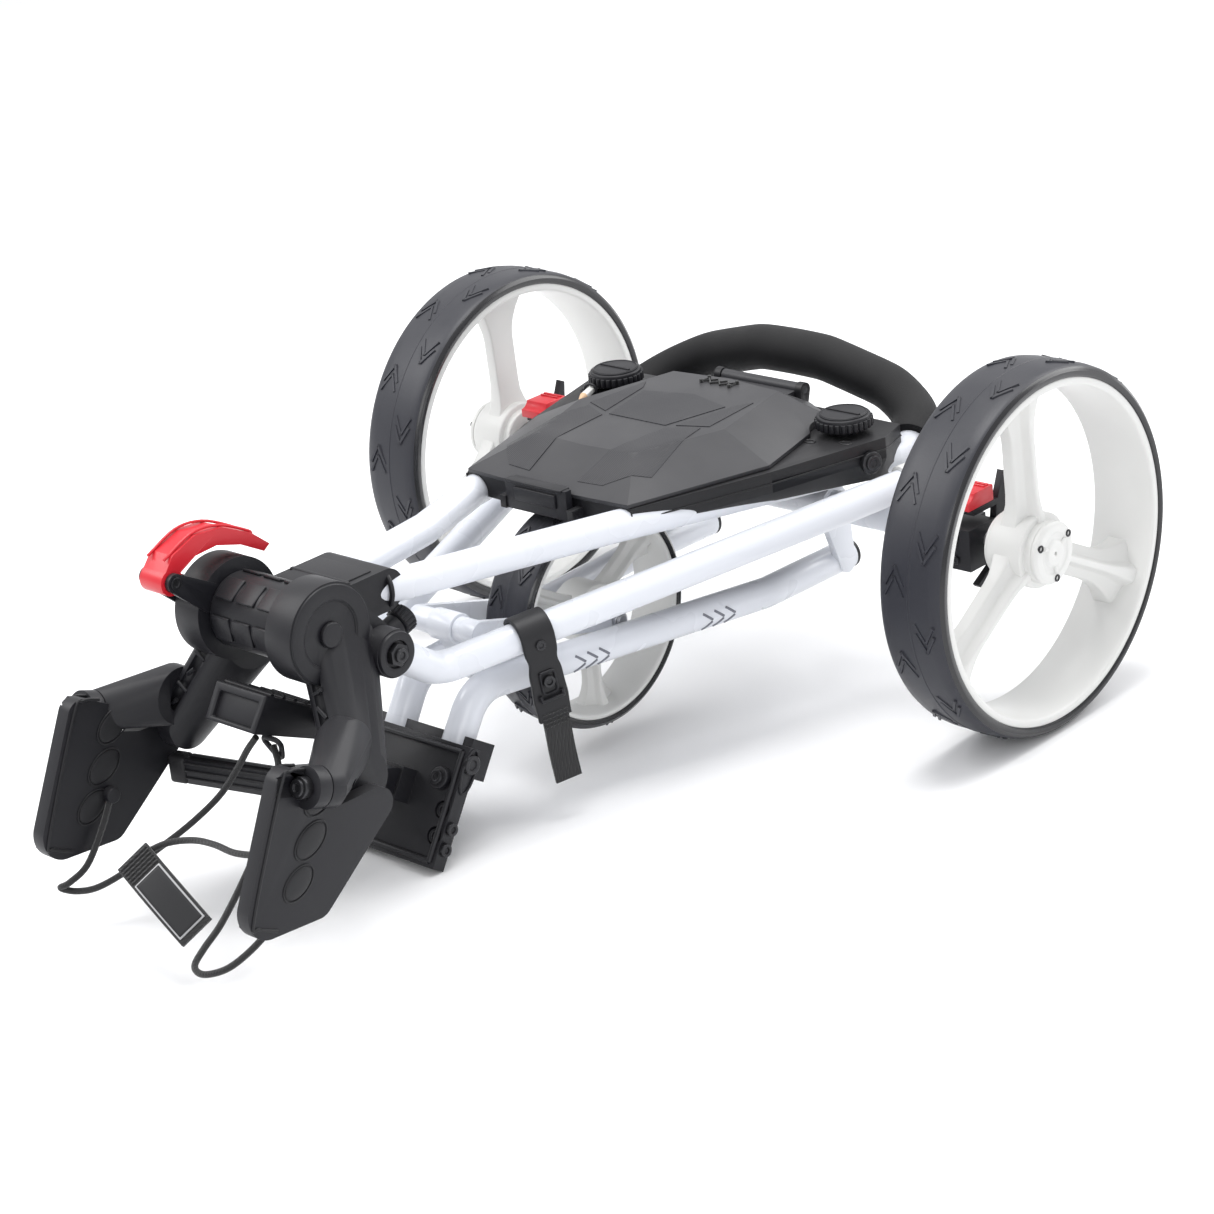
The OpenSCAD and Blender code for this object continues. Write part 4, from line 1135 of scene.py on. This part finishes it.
@dataclass
class BagArm:
    """One upper bag arm with its paddle, pivot screw and frame bolt."""

    side: Side
    barrel: tuple[float, float] = (-517.0, 220.0)
    pivot: tuple[float, float, float] = (123.0, -600.0, 151.0)
    pivot_way: tuple[float, float, float] = (0.0, -0.94, 0.34)

    def x(self, value: float) -> float:
        """Gives an x on this side, in millimetres."""
        return self.side.value * value

    def arm(self) -> None:
        """Makes the arm with its ribbed channel, and the cup and bolt details."""
        node = f"bag_arm_{self.side.word}"
        upper, lower = at(self.x(50), -528.5, 206), at(self.x(94), -555.5, 134)
        skin = Bench.copy_node(node, 1.8, 3, [Bench.rod(upper, lower, 4.8, 24)], 30)
        Bench.dress(skin, f"{node}_skin", BLACK_PLASTIC, "upper_frame", "black_plastic", [node])
        y, z = self.barrel
        trim = []
        for radius, x0 in ((34.5, 61.6), (25.0, 61.6)):
            trim.append(Bench.ring(at(self.x(x0), y, z), Vector((1, 0, 0)), radius, 1.3, 72))
        cup = Bench.spin([(self.x(61.5), 24.5), (self.x(61.5), 37.0), (self.x(63.6), 36.2), (self.x(63.6), 25.3)],
                         at(0, y, z), 72)
        trim.append(Bench.bevel(cup, 0.6, 2, 30))
        socket = Bench.spin([(self.x(71.5), 9.6), (self.x(71.5), 17.4), (self.x(74.5), 16.6), (self.x(74.5), 10.4)],
                            at(0, -468, 189), 48)
        trim.append(Bench.bevel(socket, 0.6, 2, 30))
        for k in range(5):
            point = upper.lerp(lower, 0.14 + 0.17 * k)
            slant = Vector((self.side.value * 4.4, 0, 3.0 * (1 if k % 2 else -1))) / 1000
            trim.append(Bench.rod(point - slant, point + slant, 1.6, 12))
        cap = Bench.rod(at(self.x(61.5), y, z), at(self.x(65.4), y, z), 9.4, 40, 1.2)
        trim.append(cap)
        Bench.dress(Bench.join(trim), f"bag_arm_ribs_{self.side.word}", BLACK_PLASTIC, "upper_frame", "black_plastic")
        bolt = Bench.screw(at(self.x(77), -468, 189), Vector((self.side.value, 0, 0)), 5.5, 2.5)
        Bench.dress(bolt, f"frame_bolt_head_{self.side.word}", BLACK_STEEL, "upper_frame", "black_steel")

    def paddle(self) -> None:
        """Makes the paddle with a lipped face, three soft pads, a spine and the pivot screw."""
        node = f"paddle_{self.side.word}"
        body = node
        skin = Bench.copy_node(node, 3.2, 4, (), 40)
        Bench.dress(skin, f"{node}_skin", BLACK_PLASTIC, body, "black_plastic", [node])
        inner, outer = self.x(106.6), self.x(119.2)
        pads = []
        for y, z, long, short in ((-592, 140, 15, 9.5), (-606, 112, 15, 9.5), (-622, 86, 14, 9)):
            for face in (inner, outer):
                Bench.clear()
                bpy.ops.mesh.primitive_uv_sphere_add(segments=32, ring_count=14, radius=1)
                pad = bpy.context.object
                pad.data.transform(Matrix.Translation(at(face, y, z)) @ Matrix.Rotation(math.radians(-62), 4, "X")
                                   @ Matrix.Diagonal((0.0016, short / 1000, long / 1000, 1)))
                pads.append(Bench.close(pad))
                rim_points = [at(face, y, z) + Matrix.Rotation(math.radians(-62), 3, "X") @ Vector(
                    (0, short * 1.12 / 1000 * math.cos(a), long * 1.1 / 1000 * math.sin(a)))
                    for a in [math.tau * k / 40 for k in range(41)]]
                pads.append(Bench.tube(rim_points, 0.7, 2))
        edge = [(-649, 60), (-664, 68), (-667, 78), (-628, 160), (-618, 168), (-604, 164)]
        for face in (inner, outer):
            lip = smooth_line([at(face, y + 3, z) for y, z in edge], 6)
            pads.append(Bench.tube(lip, 1.3, 3))
        Bench.dress(Bench.join(pads), f"paddle_pads_{self.side.word}", STRAP_RUBBER, body, "strap_rubber")
        way = Vector(self.pivot_way).normalized()
        seat = at(self.x(self.pivot[0]), self.pivot[1], self.pivot[2]) + way * 0.014
        screw = Bench.screw(seat, way, 6.2, 2.4)
        Bench.dress(screw, f"paddle_screw_{self.side.word}", BLACK_STEEL, "upper_frame", "black_steel")

    def build(self) -> None:
        """Makes the arm and its paddle."""
        self.arm()
        self.paddle()


@dataclass
class HandleHinge:
    """The hinge barrel, the clamp that holds the handle tubes, the cam lever and the locking screw."""

    y: float = -517.0
    z: float = 220.0
    radius: float = 28.0
    half: float = 35.5

    def build(self) -> None:
        """Makes the hinge's pieces."""
        middle = at(0, self.y, self.z)
        barrel = Bench.copy_node("hinge_barrel", 1.0)
        panels = []
        for k, turn in enumerate((62, 124, 186)):
            way = Vector((0, math.cos(math.radians(turn)), math.sin(math.radians(turn))))
            for x in (-22.5, 0, 22.5):
                Bench.clear()
                bpy.ops.mesh.primitive_cube_add(size=1)
                panel = bpy.context.object
                panel.data.transform(Matrix.Translation(middle + way * 0.0278 + Vector((x / 1000, 0, 0)))
                                     @ way.to_track_quat("Z", "X").to_matrix().to_4x4()
                                     @ Matrix.Diagonal((0.0185 if k != 1 else 0.0185, 0.0185, 0.0024, 1)))
                panels.append(Bench.bevel(panel, 0.8, 2))
        Bench.dress(Bench.join([barrel, *panels]), "hinge_barrel_skin", BLACK_PLASTIC, "handle", "black_plastic",
                    ["hinge_barrel"])
        clamp = Bench.copy_node("clamp_block", 2.4, 4)
        details = [Bench.block((-27, -486, 233), (27, -442, 235.4), 0.9), Bench.block((-31, -470, 207), (31, -466, 236), 1.2)]
        for side in Side:
            x = side.value * 16
            details.append(Bench.ring(at(x + side.value * 7.0, -430, 216.5), Vector((side.value * 34, 140, -7)).normalized(),
                                      14.2, 2.0))
        Bench.dress(Bench.join([clamp, *details]), "clamp_block_skin", BLACK_PLASTIC, "handle", "black_plastic",
                    ["clamp_block"])
        screw = Bench.screw(at(20, -419.5, 222), Vector((0.2, 1, 0.2)), 5, 2.5)
        Bench.dress(screw, "clamp_screw", BLACK_STEEL, "handle", "black_steel")
        lever = Bench.copy_node("cam_lever", 2.6, 4, (), 25)
        groove = Bench.tube(smooth_line([at(-51 + x, y, z) for x, y, z in [
            (-9, -572, 275), (-9, -545, 286), (-9, -520, 284), (-9, -494, 271), (0, -486, 264), (9, -494, 271),
            (9, -520, 284), (9, -545, 286), (9, -572, 275)]], 5), 1.1, 2)
        Bench.dress(Bench.join([lever, groove]), "cam_lever_skin", RED_PLASTIC, "cam_lever", "red_plastic", ["cam_lever"])
        for side in (-1, 1):
            head = Bench.screw(at(-51 + side * 16.3, -570, 258), Vector((side, 0, 0)), 4.6, 1.0)
            Bench.dress(head, f"cam_pin_head_{'outer' if side < 0 else 'inner'}", BLACK_STEEL, "upper_frame", "black_steel")
        self.knob()

    def knob(self) -> None:
        """Makes the locking screw's fluted head."""
        base, way = at(26, -424, 186), Vector((0, 0.951, 0.309)).normalized()
        head = Bench.rod(base + way * 0.0006, base + way * 0.012, 10.0, 48, 1.6)
        flutes = []
        for k in range(18):
            turn = math.tau * k / 18
            aside = way.orthogonal().normalized()
            spoke = Matrix.Rotation(turn, 3, way) @ aside
            flutes.append(Bench.rod(base + way * 0.0015 + spoke * 0.0099, base + way * 0.0105 + spoke * 0.0099, 1.1, 10))
        shank = Bench.rod(base - way * 0.0138, base + way * 0.002, 4.9, 24)
        Bench.dress(Bench.join([head, shank, *flutes]), "lock_knob_skin", BLACK_PLASTIC, "lock_knob", "black_plastic",
                    ["lock_knob"])


# ---------------------------------------------------------------- base bracket, cradle and buckle


@dataclass
class BaseBracket:
    """The lower bag bracket, its screws, the cradle bar and the strap buckle."""

    tilt: float = 33.4
    foot: tuple[float, float, float] = (0.0, -441.0, 0.0)
    width: float = 124.0
    thick: float = 12.0

    def on_plate(self, x: float, y: float, z: float) -> Vector:
        """Gives a point from the plate's own frame, in millimetres."""
        local = Matrix.Rotation(math.radians(-self.tilt), 3, "X") @ Vector((x, y, z))
        return at(self.foot[0] + local.x, self.foot[1] + local.y, self.foot[2] + local.z)

    def build(self) -> None:
        """Makes the bracket's skin, ribs and screws, the cradle bar and the buckle."""
        out = (self.on_plate(0, -1, 0) - self.on_plate(0, 0, 0)).normalized()
        skin = Bench.copy_node("base_bracket", 1.6, 3)
        ribs = []
        for x in (-57, 57):
            ribs.append(Bench.rod(self.on_plate(x, -13, 4), self.on_plate(x, -13, 90), 2.2, 16))
        for z in (5, 89):
            ribs.append(Bench.rod(self.on_plate(-57, -13, z), self.on_plate(57, -13, z), 2.2, 16))
        for x in (-40, -20, 20, 40):
            ribs.append(Bench.rod(self.on_plate(x, 0.4, 6), self.on_plate(x, 0.4, 68), 1.8, 12))
        for side in (-1, 1):
            saddle = [self.on_plate(side * 62.5, -self.thick / 2 + 6.5 * math.cos(a), 76 + 17 * math.sin(a))
                      for a in [math.tau * k / 32 for k in range(33)]]
            ribs.append(Bench.tube(saddle, 1.0, 3))
        pin_seat = self.on_plate(45, -self.thick, 66)
        ribs.append(Bench.rod(pin_seat, pin_seat + out * 0.006, 8.5, 36, 1.0))
        Bench.dress(Bench.join([skin, *ribs]), "base_bracket_skin", BLACK_PLASTIC, "chassis", "black_plastic",
                    ["base_bracket"])
        screws = [Bench.screw(pin_seat + out * 0.006, out, 5.5, 3.0)]
        for side in (-1, 1):
            for z in (16, 32, 82):
                screws.append(Bench.screw(self.on_plate(side * self.width / 2, -self.thick / 2, z),
                                          Vector((side, 0, 0)), 5.2 if z < 80 else 7.5, 3.0))
            for z in (24, 44):
                screws.append(Bench.screw(self.on_plate(side * 53, 3.4 - self.thick, z), out, 5.5, 3.0))
        Bench.dress(Bench.join(screws), "base_bracket_screws", BLACK_STEEL, "chassis", "black_steel", ["base_screws"])
        self.cradle()
        self.buckle()

    def cradle(self) -> None:
        """Makes the cradle bar with its rubber strips and end tips."""
        bar = Bench.copy_node("cradle_bar", 2.0, 3)
        Bench.dress(bar, "cradle_bar_skin", BLACK_PLASTIC, "chassis", "black_plastic", ["cradle_bar"])
        strips, lean = [], math.radians(14)
        for side in (-1, 1):
            for z in (84, 90, 96):
                a = at(side * 8, -520 - 6.4 - 8 * math.tan(lean), z)
                b = at(side * 88, -520 - 6.4 - 88 * math.tan(lean), z)
                strips.append(Bench.rod(a, b, 1.0, 10))
            strips.append(Bench.rod(at(side * 6, -522, 100.2), at(side * 88, -542, 100.2), 1.3, 10))
        tips = Bench.copy_node("cradle_tips", 3.0, 4)
        Bench.dress(Bench.join([tips, *strips]), "cradle_tips_skin", STRAP_RUBBER, "chassis", "strap_rubber",
                    ["cradle_tips"])

    def buckle(self) -> None:
        """Makes the ridged buckle of the bag strap."""
        skin = Bench.copy_node("buckle", 2.0, 3)
        ridges = []
        for k in range(5):
            t = 0.12 + 0.17 * k
            y, z = -559 + 59 * t, 183.6 - 34 * t
            ridges.append(Bench.rod(at(-18, y, z), at(32, y, z), 1.7, 12))
        back = Bench.outline([at(-17, -570, 160), at(-17, -556, 181), at(-17, -553, 179), at(-17, -566, 159)],
                             Vector((0.048, 0, 0)))
        ridges.append(Bench.bevel(back, 0.8, 2))
        Bench.dress(Bench.join([skin, *ridges]), "buckle_skin", BLACK_PLASTIC, "upper_frame", "black_plastic", ["buckle"])


# ---------------------------------------------------------------- console


@dataclass
class Console:
    """The console tray, its lid, knobs, latch, pencil and mesh pouch."""

    tray_top: float = 222.0
    lid_crown: float = 246.0
    knob_radius: float = 23.5
    knob_height: float = 11.0
    skin_tree: Optional[BVHTree] = None

    def build(self) -> None:
        """Makes the console's pieces."""
        self.tray()
        self.lid()
        for side in Side:
            self.knob(side)
        self.latch()
        self.pencil()
        self.pouch()

    def tray(self) -> None:
        """Makes the tray with its skirt line, side bolts and oval holes."""
        skin = Bench.copy_node("console_tray", 2.6, 4, (), 28)
        details = []
        for side in Side:
            s = side.value
            for x, y in ((112, -50), (140, -40)):
                points = [at(s * (x + 5 * math.cos(a)), y + 3.2 * math.sin(a), self.tray_top + 0.1)
                          for a in [math.tau * k / 28 for k in range(29)]]
                details.append(Bench.tube(points, 0.8, 3))
            line = [at(s * x, y, 212.5) for x, y in ((88.4, -232), (130.5, -118), (159.3, -14), (150.3, 16))]
            details.append(Bench.tube(rounded(line, 6, 4), 0.7, 3))
            post = [at(s * 88.6, -232.4, 207), at(s * 88.6, -232.4, 221)]
            details.append(Bench.tube(post, 0.7, 3))
        Bench.dress(Bench.join([skin, *details]), "console_tray_skin", CONSOLE_PLASTIC, "handle", "console_plastic",
                    ["console_tray"])
        bolts = []
        for side in Side:
            out = Vector((side.value * 104, -29, 0)).normalized()
            seat = at(side.value * 154.6, -30, 206)
            bolts.append(Bench.bevel(Bench.rod(seat, seat + out * 0.0045, 9.0, 48), 0.8, 3, 50))
            bolts.append(Bench.screw(seat + out * 0.0045, out, 6.2, 2.0))
        Bench.dress(Bench.join(bolts), "console_side_bolts", BLACK_STEEL, "handle", "black_steel", ["console_bolts"])

    def lid(self) -> None:
        """Makes the bulged lid with stepped ribbed panels and the elastic clip."""
        source = Bench.copy_node("console_lid", 0.0)
        Bench.bevel(source, 5.0, 5, 12)
        self.skin_tree = BVHTree.FromPolygons([v.co for v in source.data.vertices],
                                              [tuple(f.vertices) for f in source.data.polygons])
        Bench.dress(source, "console_lid_skin", LID_PLASTIC, "lid", "console_plastic", ["console_lid"], 40)
        panels = {
            "front_left": [(-78, -196), (-50, -222), (-26, -224), (-34, -130), (-60, -118)],
            "front_right": [(78, -196), (50, -222), (26, -224), (34, -130), (60, -118)],
            "middle": [(-30, -126), (30, -126), (44, -70), (0, -58), (-44, -70)],
            "rear_left": [(-64, -112), (-38, -122), (-50, -64), (-58, -52)],
            "rear_right": [(64, -112), (38, -122), (50, -64), (58, -52)]}
        for name, corners in panels.items():
            piece = self.panel(corners)
            Bench.dress(piece, f"lid_panel_{name}", LID_RIBS, "lid", "console_plastic")
        points = [(-15, -30), (-5, -40), (5, -30), (15, -40), (15, -30), (5, -40), (-5, -30), (-15, -40), (-15, -30)]
        band = [at(x, y + 8, self.surface(x, y + 8) + 1.0) for x, y in points]
        clip = Bench.tube(band, 0.8, 3)
        posts = [Bench.rod(at(x, y + 8, self.surface(x, y + 8) - 2), at(x, y + 8, self.surface(x, y + 8) + 3), 1.6, 16, 0.4)
                 for x in (-15, 15) for y in (-40, -30)]
        Bench.dress(Bench.join([clip, *posts]), "lid_elastic_clip", CORD_BRAID, "lid", "cord")

    def surface(self, x: float, y: float) -> float:
        """Finds the lid's top under a point, in millimetres."""
        place, _, _, _ = self.skin_tree.ray_cast(at(x, y, 400), Vector((0, 0, -1)))
        return place.z * 1000 if place else self.tray_top

    def panel(self, corners: Sequence[tuple[float, float]]) -> bpy.types.Object:
        """Makes a thin ribbed panel that lies on the lid.

        Args:
            corners: its (x, y) corners in millimetres.

        Returns:
            The panel.
        """
        plate = Bench.outline([at(x, y, 0) for x, y in corners], Vector((0, 0, 0.001)))
        Bench.pick(plate)
        bpy.ops.object.mode_set(mode="EDIT")
        bpy.ops.mesh.select_all(action="SELECT")
        bpy.ops.mesh.quads_convert_to_tris()
        bpy.ops.mesh.subdivide(number_cuts=7)
        bpy.ops.object.mode_set(mode="OBJECT")
        for vertex in plate.data.vertices:
            x, y = vertex.co.x * 1000, (vertex.co.y - REAR_AXLE_Y) * 1000
            vertex.co.z = (self.surface(x, y) + (0.55 if vertex.co.z > 0.0005 else -0.6)) / 1000
        return plate

    def knob(self, side: Side) -> None:
        """Makes a counter knob: fluted rim, flat dished top and a grip bar across it."""
        x, y, z = side.value * 123, -20, 227
        base = at(x, y, z)
        up = Vector((0, 0, 1))
        rim = Bench.rod(base, base + up * self.knob_height / 1000, self.knob_radius - 2.0, 72, 1.4)
        teeth = []
        for k in range(28):
            turn = math.tau * k / 28
            way = Vector((math.cos(turn), math.sin(turn), 0)) * (self.knob_radius - 2.2) / 1000
            teeth.append(Bench.rod(base + way + up * 0.0012, base + way + up * 0.0082, 2.1, 12, 0.5))
        top = Bench.rod(base + up * 0.0102, base + up * 0.0122, self.knob_radius - 4.4, 72, 0.6)
        bar = Bench.rod(base + up * 0.0126 + Vector((-0.0165, 0, 0)), base + up * 0.0126 + Vector((0.0165, 0, 0)), 0.9, 12)
        edge = Bench.ring(base + up * 0.0122, up, self.knob_radius - 5.5, 0.5, 72)
        shank = Bench.rod(base - up * 0.005, base + up * 0.001, 9.0, 32)
        Bench.dress(Bench.join([rim, top, bar, edge, shank, *teeth]), f"counter_knob_{side.word}", BLACK_PLASTIC,
                    f"knob_{side.word}", "black_plastic", [f"knob_{side.word}"])

    def latch(self) -> None:
        """Makes the lid's latch with a plain raised patch."""
        skin = Bench.copy_node("lid_latch", 1.2, 3)
        lip = Bench.block((-29, -247, 229), (29, -236, 231.5), 1.0)
        patch = Bench.block((-22, -247, 215), (22, -244, 226), 0.8)
        Bench.dress(Bench.join([skin, lip, patch]), "lid_latch_skin", BLACK_PLASTIC, "latch", "black_plastic",
                    ["lid_latch"])

    def pencil(self) -> None:
        """Makes the pencil in its clip beside the left knob."""
        a, b = at(-118, -72, 226), at(-148, 2, 226)
        way = (b - a).normalized()
        shaft = Bench.rod(a + way * 0.012, b, 3.6, 6, 0.3)
        Bench.dress(shaft, "pencil_shaft", WHITE_PLASTIC, "handle", "white_plastic")
        Bench.clear()
        middle = a + way * 0.006
        bpy.ops.mesh.primitive_cone_add(vertices=24, radius1=0.0035, radius2=0.0004, depth=0.012, location=middle,
                                        rotation=(-way).to_track_quat("Z", "Y").to_euler())
        point = Bench.bevel(Bench.settle(bpy.context.object), 0.2, 2)
        Bench.dress(point, "pencil_point", PENCIL_WOOD, "handle", "white_plastic")
        holder = []
        for share in (0.35, 0.62):
            middle = a + (b - a) * share
            aside = way.cross(Vector((0, 0, 1))).normalized()
            hoop = [middle + aside * 0.0052 * math.cos(t) + Vector((0, 0, 0.0052 * math.sin(t)))
                    for t in [math.radians(k) for k in range(-40, 221, 13)]]
            holder.append(Bench.tube(hoop, 1.2, 3))
        Bench.dress(Bench.join(holder), "pencil_clip", BLACK_PLASTIC, "handle", "black_plastic")

    def pouch(self) -> None:
        """Makes the two sagging halves of the mesh pouch under the tray's front edge."""
        for side in Side:
            s = side.value
            Bench.clear()
            bpy.ops.mesh.primitive_grid_add(x_subdivisions=22, y_subdivisions=30, size=1)
            net = bpy.context.object
            for vertex in net.data.vertices:
                u, v = vertex.co.x + 0.5, vertex.co.y + 0.5
                sag = math.sin(math.pi * min(1, max(0, u))) ** 0.6 * math.sin(math.pi * min(1, max(0, v))) ** 0.5
                ripple = 0.5 * math.sin(u * 19 + v * 7) * sag
                vertex.co = at(s * (36.5 + 23 * u), -225.5 + 39 * v, 203.2 - (v * 1.2) - 13.2 * sag + ripple)
            modifier = net.modifiers.new("cloth_thickness", "SOLIDIFY")
            modifier.thickness, modifier.offset = 0.0008, 0
            Bench.apply(net)
            Bench.dress(net, f"mesh_pouch_{side.word}", MESH_KNIT, "handle", "mesh", ["mesh_pouch"], 60)


# ---------------------------------------------------------------- brakes, strap and joints


@dataclass
class Brake:
    """One foot brake: housing, curved blade and red pedal."""

    side: Side
    inner: float = 216.0

    def build(self) -> None:
        """Makes the housing, the blade and the pedal."""
        s, w = self.side.value, self.side.word
        housing = Bench.copy_node(f"brake_housing_{w}", 1.4, 3)
        Bench.dress(housing, f"brake_housing_{w}_skin", BLACK_PLASTIC, "chassis", "black_plastic",
                    [f"brake_housing_{w}"])
        screws = [Bench.screw(at(s * 230, -24, z), Vector((0, -1, 0)), 3.6, 2.0) for z in (136, 154)]
        Bench.dress(Bench.join(screws), f"brake_screws_{w}", BLACK_STEEL, "chassis", "black_steel")
        lever = Bench.copy_node(f"brake_lever_{w}", 1.0, 3, (), 40)
        Bench.dress(lever, f"brake_lever_{w}_skin", BLACK_PLASTIC, f"brake_{w}", "black_plastic", [f"brake_lever_{w}"])
        pedal = Bench.copy_node(f"brake_pedal_{w}", 1.2, 3)
        grip = [Bench.rod(at(s * 220, y, 189.4), at(s * 240, y, 189.4), 0.9, 10) for y in (4, 8)]
        Bench.dress(Bench.join([pedal, *grip]), f"brake_pedal_{w}_skin", RED_PLASTIC, f"brake_{w}", "red_plastic",
                    [f"brake_pedal_{w}"])


@dataclass
class ReleaseStrap:
    """The rubber strap on the right frame tube, with its stud, hook and sewn tab."""

    share: float = 0.2
    inside: float = 13.0
    thick: float = 4.0

    def place(self, x: float, y: float, z: float) -> Vector:
        """Gives a point from the strap's frame: x outwards, y down, z along the tube, in millimetres."""
        a, b = Vector((40, -402, 144)), Vector((168, -41, 184))
        along = (b - a).normalized()
        out = along.cross(Vector((0, 0, 1))).normalized()
        down = along.cross(out)
        point = a + (b - a) * self.share + out * x + down * y + along * z
        return at(*point)

    def build(self) -> None:
        """Makes the strap, its screw, stud and tab."""
        strap = self.band()
        Bench.dress(strap, "release_strap_skin", STRAP_RUBBER, "strap", "strap_rubber", ["release_strap"], 45)
        out = (self.place(1, 0, 0) - self.place(0, 0, 0)).normalized()
        face = self.inside + self.thick
        metal = [Bench.screw(self.place(face, 4, 0), out, 4.0, 1.6), Bench.screw(self.place(face, 34, 0), out, 4.8, 3.0)]
        Bench.dress(Bench.join(metal), "release_strap_studs", BLACK_STEEL, "strap", "black_steel")
        frame_points = [self.place(face + 0.6, y, z) for y, z in ((26, -6), (26, 6), (44, 6), (44, -6), (26, -6))]
        eye = Bench.tube(rounded([frame_points[0], *frame_points[1:4], frame_points[0]], 3, 5), 1.0, 3)
        hook = Bench.tube([self.place(face + 1, 44, -9), self.place(face + 2.4, 48, -9), self.place(face + 2.4, 48, 9),
                           self.place(face + 1, 44, 9)], 1.6, 4)
        Bench.dress(Bench.join([eye, hook]), "release_strap_eye", BLACK_PLASTIC, "strap", "black_plastic")
        self.tab()

    def band(self) -> bpy.types.Object:
        """Makes the moulded band: round the tube, then down, with a waist and a wider foot."""
        rows = 60
        Bench.clear()
        bpy.ops.mesh.primitive_grid_add(x_subdivisions=10, y_subdivisions=rows, size=1)
        band = bpy.context.object
        arc = math.radians(150) * (self.inside + 2)
        total = arc + 66
        for vertex in band.data.vertices:
            u, v = vertex.co.x * 2, (vertex.co.y + 0.5) * total
            if v < arc:
                angle = -math.radians(150) + v / (self.inside + 2)
                x, y = (self.inside + 2) * math.cos(angle), (self.inside + 2) * math.sin(angle)
                width = 13.5
            else:
                x, y = self.inside + 2, v - arc
                width = 13.5 - 1.8 * math.exp(-((y - 18) / 6) ** 2) + 0.8 * math.exp(-((y - 48) / 8) ** 2)
            vertex.co = self.place(x, y, u * width)
        modifier = band.modifiers.new("rubber", "SOLIDIFY")
        modifier.thickness, modifier.offset = 0.0038, 0
        Bench.apply(band)
        return Bench.bevel(Bench.close(band), 0.9, 3, 50)

    def tab(self) -> None:
        """Makes the folded webbing tab with its rows of stitches."""
        Bench.clear()
        bpy.ops.mesh.primitive_grid_add(x_subdivisions=8, y_subdivisions=40, size=1)
        tab = bpy.context.object
        for vertex in tab.data.vertices:
            v = (vertex.co.y + 0.5) * 64
            vertex.co = self.place(self.inside + 2.0 + 0.7 * math.sin(v * 0.11), 54 + v, vertex.co.x * 21.6)
        modifier = tab.modifiers.new("webbing", "SOLIDIFY")
        modifier.thickness, modifier.offset = 0.0022, 0
        Bench.apply(tab)
        Bench.dress(tab, "strap_tab_skin", WEBBING, "strap", "webbing", ["strap_tab"], 50)
        rows = [Bench.rod(self.place(self.inside + 3.6, y, -10.6), self.place(self.inside + 3.6, y, 10.6), 0.9, 8)
                for y in (60, 63.5, 67, 70.5)]
        Bench.dress(Bench.join(rows), "strap_tab_stitches", WEBBING, "strap", "webbing")


@dataclass
class SmallParts:
    """CAD nodes that keep their shape and get rounded edges and a finish."""

    parts: tuple[tuple[str, str, Finish, str, float], ...] = (
        ("axle_tube", "chassis", WHITE_PAINT, "white_paint", 0.8),
        ("tube_plugs", "chassis", BLACK_PLASTIC, "black_plastic", 1.0),
        ("fork_bracket", "chassis", WHITE_PAINT, "white_paint", 1.0),
        ("axle_stubs", "chassis", STEEL, "steel", 0.5),
        ("front_fork", "fork", WHITE_PAINT, "white_paint", 1.2),
        ("front_axle", "fork", STEEL, "steel", 0.6),
        ("frame_knuckles", "upper_frame", WHITE_PLASTIC, "white_plastic", 1.6),
        ("hinge_pin", "upper_frame", STEEL, "steel", 0.8),
        ("frame_bolts", "upper_frame", BLACK_STEEL, "black_steel", 0.8),
        ("paddle_pins", "upper_frame", BLACK_STEEL, "black_steel", 0.6),
        ("cam_pin", "upper_frame", STEEL, "steel", 0.5),
        ("wheel_bearings_left", "wheel_left", STEEL, "steel", 0.4),
        ("wheel_bearings_right", "wheel_right", STEEL, "steel", 0.4),
        ("front_bearings", "front_wheel", STEEL, "steel", 0.4))

    def build(self) -> None:
        """Makes each part's skin."""
        for node, body, finish, slot, bevel in self.parts:
            skin = Bench.copy_node(node, bevel, 3)
            Bench.dress(skin, f"{node}_skin", finish, body, slot, [node])


def main() -> None:
    """Builds the studio, the cords and every sub-assembly, in order."""
    logging.basicConfig(level=logging.INFO, format="%(name)s: %(message)s")
    Studio().build()
    BagCords().build()
    for side in Side:
        middle = at(side.value * 280, 0, 148)
        Wheel(f"rear_wheel_{side.word}", f"wheel_{side.word}", middle, side.value, 148, 30, 11.4, 25, 22,
              (92, 212, 332), (f"rear_rim_{side.word}", f"rear_tyre_{side.word}"), 13, 1.0, 8).build()
        HubCap(side, middle).build()
    Wheel("front_wheel", "front_wheel", at(0, -205, 111), 1, 93.8, 23, 10.0, 20, 20, (30, 150, 270),
          ("front_rim", "front_tyre"), 11, 0.72, 7).build()
    Tubes().build()
    HandleHinge().build()
    for side in Side:
        BagArm(side).build()
        Brake(side).build()
    BaseBracket().build()
    Console().build()
    ReleaseStrap().build()
    SmallParts().build()


if __name__ == "__main__":
    main()
